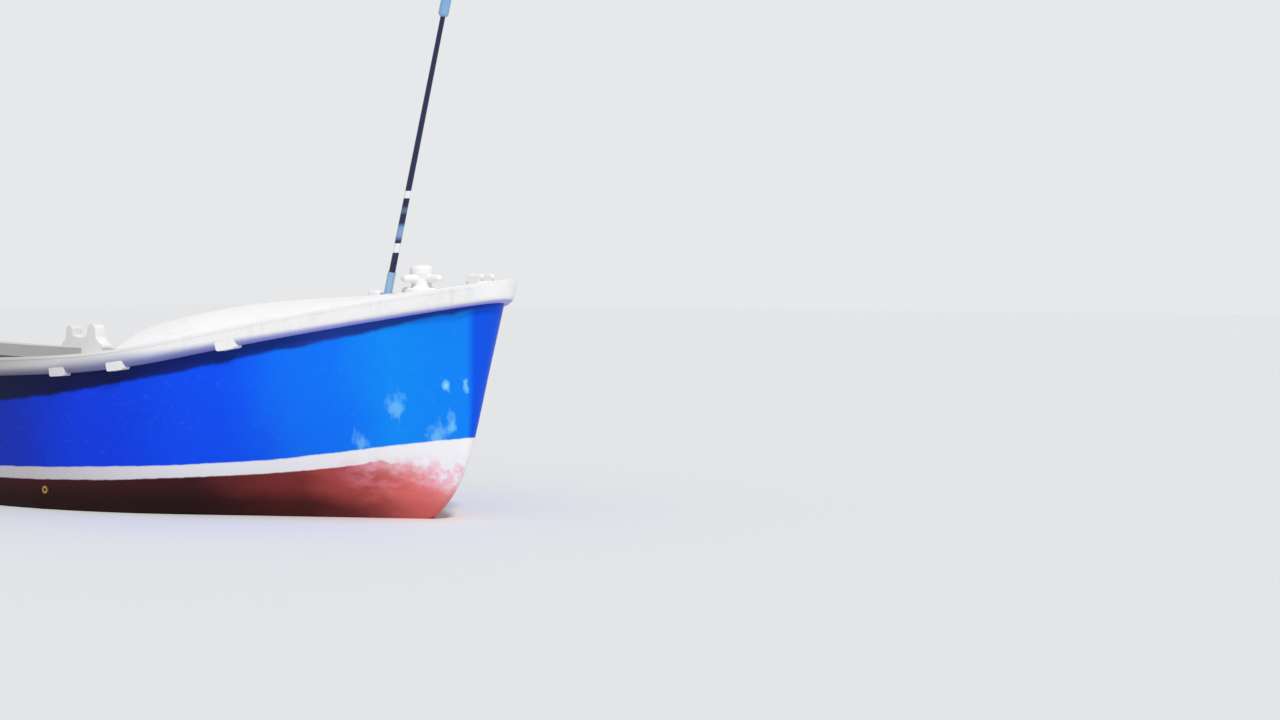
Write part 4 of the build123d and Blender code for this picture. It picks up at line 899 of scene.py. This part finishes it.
class FasteningTree:
    """A Geometry Nodes tree that puts a head on each point, along the point's normal."""

    dome_rings = 8
    # As deep as the head is wide, before it is scaled.
    plain_depth = 2.0

    def __init__(self, kind: HeadKind, material: bpy.types.Material) -> None:
        """Builds the tree.

        Args:
            kind: The head's kind.
            material: What the heads are made of.
        """
        name, rise, sides = kind.value
        self.tree = bpy.data.node_groups.new(f"heads_{name}", "GeometryNodeTree")
        for title, side in (("Points", "INPUT"), ("Heads", "OUTPUT")):
            self.tree.interface.new_socket(title, in_out=side, socket_type="NodeSocketGeometry")
        g = Graph(self.tree)
        if kind is HeadKind.DOME:
            head = g.node("GeometryNodeMeshUVSphere", {"Segments": sides, "Rings": self.dome_rings})
        else:
            head = g.node("GeometryNodeMeshCylinder", {"Vertices": sides, "Depth": self.plain_depth})
        shape = g.node("GeometryNodeTransform", {
            "Geometry": head.outputs["Mesh"], "Scale": (1.0, 1.0, rise)})
        way = g.node("GeometryNodeInputNamedAttribute", {"Name": "way"}, data_type="FLOAT_VECTOR")
        size = g.node("GeometryNodeInputNamedAttribute", {"Name": "radius"}, data_type="FLOAT")
        turn = g.node("FunctionNodeAlignEulerToVector", {"Vector": way.outputs[0]}, axis="Z")
        place = g.node("GeometryNodeInstanceOnPoints", {
            "Points": g.node("NodeGroupInput").outputs["Points"], "Instance": shape.outputs[0],
            "Rotation": turn.outputs[0], "Scale": size.outputs[0]})
        real = g.node("GeometryNodeRealizeInstances", {0: place.outputs[0]})
        dress = g.node("GeometryNodeSetMaterial", {"Geometry": real.outputs[0], "Material": material})
        g.node("NodeGroupOutput", {"Heads": dress.outputs[0]})

    def grow(self, row: FasteningRow) -> bpy.types.Object:
        """Turns a row of places into one plain mesh of heads.

        Args:
            row: The places.

        Returns:
            The finished piece.
        """
        mesh = bpy.data.meshes.new(f"{row.name}_points")
        mesh.from_pydata([tuple(place) for place, _, _ in row.places], [], [])
        way = mesh.attributes.new("way", "FLOAT_VECTOR", "POINT")
        way.data.foreach_set("vector", [c for _, normal, _ in row.places for c in normal])
        size = mesh.attributes.new("radius", "FLOAT", "POINT")
        size.data.foreach_set("value", [radius for _, _, radius in row.places])
        piece = bpy.data.objects.new(row.name, mesh)
        bpy.context.scene.collection.objects.link(piece)
        modifier = piece.modifiers.new("heads", "NODES")
        modifier.node_group = self.tree
        graph = bpy.context.evaluated_depsgraph_get()
        made = bpy.data.meshes.new_from_object(piece.evaluated_get(graph))
        piece.modifiers.clear()
        piece.data = made
        made.name = row.name
        for polygon in made.polygons:
            polygon.use_smooth = row.kind is HeadKind.DOME
        return piece


@dataclass
class DeckFastenings:
    """The bolts and screws of the fittings on deck and at the stern, in metres."""

    # Each row is (node, place along the boat, radius of the circle of bolts, radius of a head).
    circles: tuple[tuple[str, float, float, float], ...] = (
        ("bollard", 2.356, 0.078, 0.0085), ("staff_socket", 2.133, 0.0285, 0.0034))
    circle_bolts: int = 4
    # Each row is (node, place along the boat, half the distance of a pair, radius of a head).
    pairs: tuple[tuple[str, float, float, float], ...] = (
        ("stem_fairlead", 2.735, 0.062, 0.006), ("deck_eye", 2.052, 0.021, 0.005))
    # Each row is (node, place across, height, half width and half height of its bolts, radius of a head).
    plates: tuple[tuple[str, float, float, float, float, float], ...] = (
        ("stern_eye_port", 0.56, 0.42, 0.018, 0.036, 0.0055),
        ("stern_eye_starboard", -0.56, 0.42, 0.018, 0.036, 0.0055),
        ("transom_gudgeons", 0.0, 0.19, 0.024, 0.018, 0.0045),
        ("transom_gudgeons", 0.0, 0.64, 0.024, 0.018, 0.0045))
    # Where the lines to a surface start.
    above: float = 3.0
    astern: float = -3.4

    def rows(self) -> list[FasteningRow]:
        """The rows of heads, each set down on its fitting."""
        return [self._painted(), self._steel()]

    def _painted(self) -> FasteningRow:
        """The heads on deck.

        Returns:
            Their row.
        """
        row = FasteningRow("deck_bolts", "hull_body", HeadKind.DOME, "bollard_white")
        for node, middle, reach, radius in self.circles:
            surface = Surface(node)
            for number in range(self.circle_bolts):
                turn = math.pi / self.circle_bolts + math.tau * number / self.circle_bolts
                x, y = middle + reach * math.cos(turn), reach * math.sin(turn)
                row.add(*surface.meet((x, y, self.above)), radius)
        surfaces = [Surface(node) for node, _, _, _ in self.pairs]
        for side in (-1.0, 1.0):
            for surface, (_, middle, reach, radius) in zip(surfaces, self.pairs):
                row.add(*surface.meet((middle + side * reach, 0.0, self.above)), radius)
        return row

    def _steel(self) -> FasteningRow:
        """The heads at the stern.

        Returns:
            Their row.
        """
        row = FasteningRow("stern_bolts", "hull_body", HeadKind.HEXAGON, "steel")
        for node, across, height, half_width, half_height, radius in self.plates:
            plate = Surface(node)
            for rise in (-half_height, half_height):
                for offset in (half_width, -half_width):
                    row.add(*plate.meet((self.astern, across + offset, height + rise), AHEAD), radius)
        return row


@dataclass
class CockpitFastenings:
    """The screws of the sole's boards, the lid and the hinges, in metres."""

    board_pitch: float = 0.115
    board_pairs: int = 6
    screw_spread: float = 0.034
    bearer_xs: tuple[float, ...] = (1.6, 1.0, 0.4, -0.2, -1.5, -2.1)
    sole_head: float = 0.0045
    # A line starts above the boards. What it meets below the second height is no board.
    sole_above: float = 0.3
    sole_low: float = -0.075
    hinge_ys: tuple[float, ...] = (-0.17, 0.17)
    leaf_x: float = -0.49
    leaf_above: float = 0.6
    leaf_spread: float = 0.028
    leaf_head: float = 0.0042
    plate_heights: tuple[float, ...] = (0.333, 0.352)
    plate_head: float = 0.0038

    def rows(self) -> list[FasteningRow]:
        """The rows of heads, each set down on its piece."""
        return [self._sole(), *self._hinges()]

    def _sole(self) -> FasteningRow:
        """Two screws in each board over each bearer.

        Returns:
            Their row.
        """
        row = FasteningRow("sole_screws", "hull_body", HeadKind.FLAT, "bronze")
        boards = Surface("sole_boards")
        for x in self.bearer_xs:
            for number in range(-self.board_pairs, self.board_pairs + 1):
                for offset in (-self.screw_spread, self.screw_spread):
                    try:
                        place, normal = boards.meet((x, number * self.board_pitch + offset, self.sole_above))
                    except ValueError:
                        continue
                    if place.z > self.sole_low:
                        row.add(place, normal, self.sole_head)
        return row

    def _hinges(self) -> tuple[FasteningRow, FasteningRow]:
        """The screws of the hinges.

        Returns:
            The row that rides on the lid, and the row on the box.
        """
        lid = FasteningRow("lid_screws", "lid_body", HeadKind.FLAT, "steel")
        box = FasteningRow("box_screws", "hull_body", HeadKind.FLAT, "steel")
        leaf, plate = Surface("lid_hinge_knuckles"), Surface("lid_hinges")
        for y in self.hinge_ys:
            for offset in (-self.leaf_spread, self.leaf_spread):
                lid.add(*leaf.meet((self.leaf_x, y + offset, self.leaf_above)), self.leaf_head)
            for height in self.plate_heights:
                box.add(*plate.meet((0.0, y, height), ASTERN), self.plate_head)
        return lid, box


@dataclass
class Fastenings:
    """All of the boat's visible fastenings."""

    deck: DeckFastenings = field(default_factory=DeckFastenings)
    cockpit: CockpitFastenings = field(default_factory=CockpitFastenings)

    def build(self, finishes: dict[str, bpy.types.Material]) -> list[bpy.types.Object]:
        """Builds every row of heads.

        Args:
            finishes: The materials by slot.

        Returns:
            The pieces.
        """
        pieces = []
        for row in self.deck.rows() + self.cockpit.rows():
            piece = FasteningTree(row.kind, finishes[row.slot]).grow(row)
            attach(piece, row.body)
            log.info("%s: %d heads", row.name, len(row.places))
            pieces.append(piece)
        return pieces


@dataclass
class Wardrobe:
    """Every finish, and the CAD nodes that wear it."""

    # These nodes wear a white of their own, with painted shade on its foot.
    strakes: tuple[str, ...] = ("strake_port", "strake_starboard")

    def finishes(self) -> dict[str, Finish]:
        """Chooses a finish for each of the record's slots.

        Returns:
            The finishes by slot.
        """
        return {
            "hull_blue": HullPaint(),
            "strake_white": WeatheredWhite("strake_paint", dirt=0.32, roughness=0.5, orange_peel=0.0005),
            "deck_white": WeatheredWhite("deck_gelcoat", dirt=0.25),
            "bollard_white": PaintedMetal(
                "bollard_paint", paint(246, 245, 244), paint(150, 118, 92), wear=0.22),
            "socket_blue": PaintedMetal("socket_paint", paint(150, 188, 220), paint(92, 106, 122), wear=0.3),
            "staff_navy": BandedStaff("staff_paint"),
            "staff_head_blue": PaintedMetal("staff_head_paint", paint(140, 182, 226), paint(90, 110, 140)),
            "interior_grey": WeatheredWhite(
                "flow_coat", clean=paint(176, 180, 180), grime=paint(128, 130, 126), dirt=0.6,
                aft_shade=0.0, roughness=0.6),
            "boards": Timber(
                "sole_timber", paint(150, 116, 80), paint(104, 74, 48), board=0.115, greyed=0.55,
                roughness=0.62),
            "bench_moulding": WeatheredWhite(
                "bench_gelcoat", clean=paint(226, 228, 228), aft_shade=0.0, dirt=0.3),
            "engine_green": PaintedMetal("engine_paint", paint(60, 92, 84), paint(110, 100, 90)),
            "bronze": BareMetal("cast_bronze", paint(190, 146, 86), paint(96, 104, 78), roughness=0.36),
            "steel": BareMetal("stainless", paint(196, 198, 200), paint(150, 146, 140), tarnished=0.25),
            "antifoul": PaintedMetal("bottom_paint", paint(92, 22, 20), paint(60, 40, 30), roughness=0.7),
            "rudder_paint": Timber(
                "rudder_timber", paint(104, 28, 26), paint(74, 18, 18), Grain.UPRIGHT, roughness=0.55),
            "tiller_wood": Timber(
                "tiller_timber", paint(176, 122, 70), paint(120, 74, 38), roughness=0.35, coat=0.4),
        }

    def dress(self) -> dict[str, bpy.types.Material]:
        """Makes the materials and puts them on the CAD nodes.

        Returns:
            The materials by slot.
        """
        made = {slot: finish.make() for slot, finish in self.finishes().items()}
        # The strakes' white has painted shade on its foot.
        strake = StrakeWhite("strake_painted_shade").make()
        for part in frame["record"]["subparts"]:
            body = frame["nodes"][part["node"]]
            if not body.material_slots:
                body.data.materials.append(None)
            finish = strake if part["node"] in self.strakes else made[part["material_slot"]]
            for place in body.material_slots:
                place.material = finish
            log.info("%s wears %s", part["node"], finish.name)
        return made


@dataclass
class Studio:
    """The floor at the water's level, the lights and the camera."""

    floor_reach: float = 60.0
    floor_colour: Colour = paint(226, 227, 228)
    floor_roughness: float = 0.9
    # The floor's hole ends inside the hull's skin, measured just above the floor.
    hole_inset: float = 0.006
    hole_stations: int = 90
    hole_height: float = 0.0005
    starboard: float = -3.0
    backdrop: Colour = paint(231, 232, 234)
    sun_way: Point = (0.8, -0.45, 1.1)
    sun_strength: float = 2.18
    sun_softness: float = math.radians(7.0)
    sky: Colour = (0.97, 0.98, 1.0)
    sky_strength: float = 0.48
    camera_place: Point = (10.347, -9.069, 1.2)
    camera_azimuth: float = math.radians(36.3)
    camera_dip: float = math.radians(2.0156)
    lens_mm: float = 69.05
    sensor_mm: float = 36.0
    view_end: float = 400.0

    def build(self) -> None:
        """Makes everything that isn't the boat."""
        self._floor()
        self._lights()
        self._camera()

    def _hull_outline(self) -> list[tuple[float, float]]:
        """The hull's edge at the water's level, a little inside its outer face.

        Returns:
            The edge's places as (x, y), in order.
        """
        skin = Surface("hull_shell")
        low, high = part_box("hull_shell")
        stem = skin.meet((high.x + 1.0, 0.0, self.hole_height), ASTERN)[0].x - self.hole_inset
        stern = low.x + self.hole_inset
        side = []
        for number in range(self.hole_stations):
            # The stations crowd towards the rounded stem.
            x = stern + (stem - stern) * math.sin(0.5 * math.pi * number / self.hole_stations)
            place, _ = skin.meet((x, self.starboard, self.hole_height), TO_PORT)
            side.append((x, max(-place.y - self.hole_inset, 0.0)))
        return [(x, -y) for x, y in side] + [(stem, 0.0)] + side[::-1]

    def _floor(self) -> None:
        """A pale floor at z = 0, open inside the hull."""
        form = bmesh.new()
        reach = self.floor_reach
        corners = ((-reach, -reach), (reach, -reach), (reach, reach), (-reach, reach))
        outer = [form.verts.new((x, y, 0.0)) for x, y in corners]
        inner = [form.verts.new((x, y, 0.0)) for x, y in self._hull_outline()]
        edges = [form.edges.new((ring[n - 1], ring[n])) for ring in (outer, inner) for n in range(len(ring))]
        bmesh.ops.triangle_fill(form, use_beauty=True, use_dissolve=False, edges=edges, normal=UP)
        mesh = bpy.data.meshes.new("floor")
        form.to_mesh(mesh)
        form.free()
        floor = bpy.data.objects.new("floor", mesh)
        bpy.context.scene.collection.objects.link(floor)
        mesh.materials.append(Recipe("floor_paper").finish(self.floor_colour, self.floor_roughness))

    def _lights(self) -> None:
        """One soft sun and an even sky, which the camera sees as a plain backdrop."""
        lamp = bpy.data.lights.new("key", "SUN")
        lamp.energy, lamp.angle = self.sun_strength, self.sun_softness
        key = bpy.data.objects.new("key", lamp)
        key.rotation_euler = Vector(self.sun_way).to_track_quat("Z", "Y").to_euler()
        bpy.context.scene.collection.objects.link(key)
        world = bpy.data.worlds.new("studio")
        bpy.context.scene.world = world
        world.use_nodes = True
        g = Graph(world.node_tree)
        sky = g.nodes["Background"]
        g.feed(sky, {"Color": self.sky, "Strength": self.sky_strength})
        seen = g.node("ShaderNodeBackground", {"Color": self.backdrop})
        path = g.node("ShaderNodeLightPath")
        shown = path.outputs["Is Camera Ray"]
        for ray in ("Is Glossy Ray", "Is Transmission Ray"):
            shown = g.node("ShaderNodeMath", {0: shown, 1: path.outputs[ray]}, operation="MAXIMUM").outputs[0]
        swap = g.node("ShaderNodeMixShader", {0: shown, 1: sky.outputs[0], 2: seen.outputs[0]})
        g.feed(g.nodes["World Output"], {"Surface": swap.outputs[0]})

    def _camera(self) -> None:
        """The camera where the photograph was taken from."""
        eye = bpy.data.cameras.new("camera")
        eye.sensor_fit, eye.sensor_width, eye.lens = "HORIZONTAL", self.sensor_mm, self.lens_mm
        eye.clip_end = self.view_end
        camera = bpy.data.objects.new("camera", eye)
        camera.location = self.camera_place
        camera.rotation_euler = (math.pi / 2 - self.camera_dip, 0.0, self.camera_azimuth)
        bpy.context.scene.collection.objects.link(camera)
        bpy.context.scene.camera = camera


def main() -> None:
    """Builds the dressed boat and its surroundings."""
    logging.basicConfig(level=logging.INFO, format="%(name)s %(message)s")
    bpy.context.scene.view_settings.view_transform = "Standard"
    finishes = Wardrobe().dress()
    pieces = Fastenings().build(finishes)
    Studio().build()
    log.info("%d pieces of the scene's own", len(pieces))


if __name__ == "__main__":
    main()
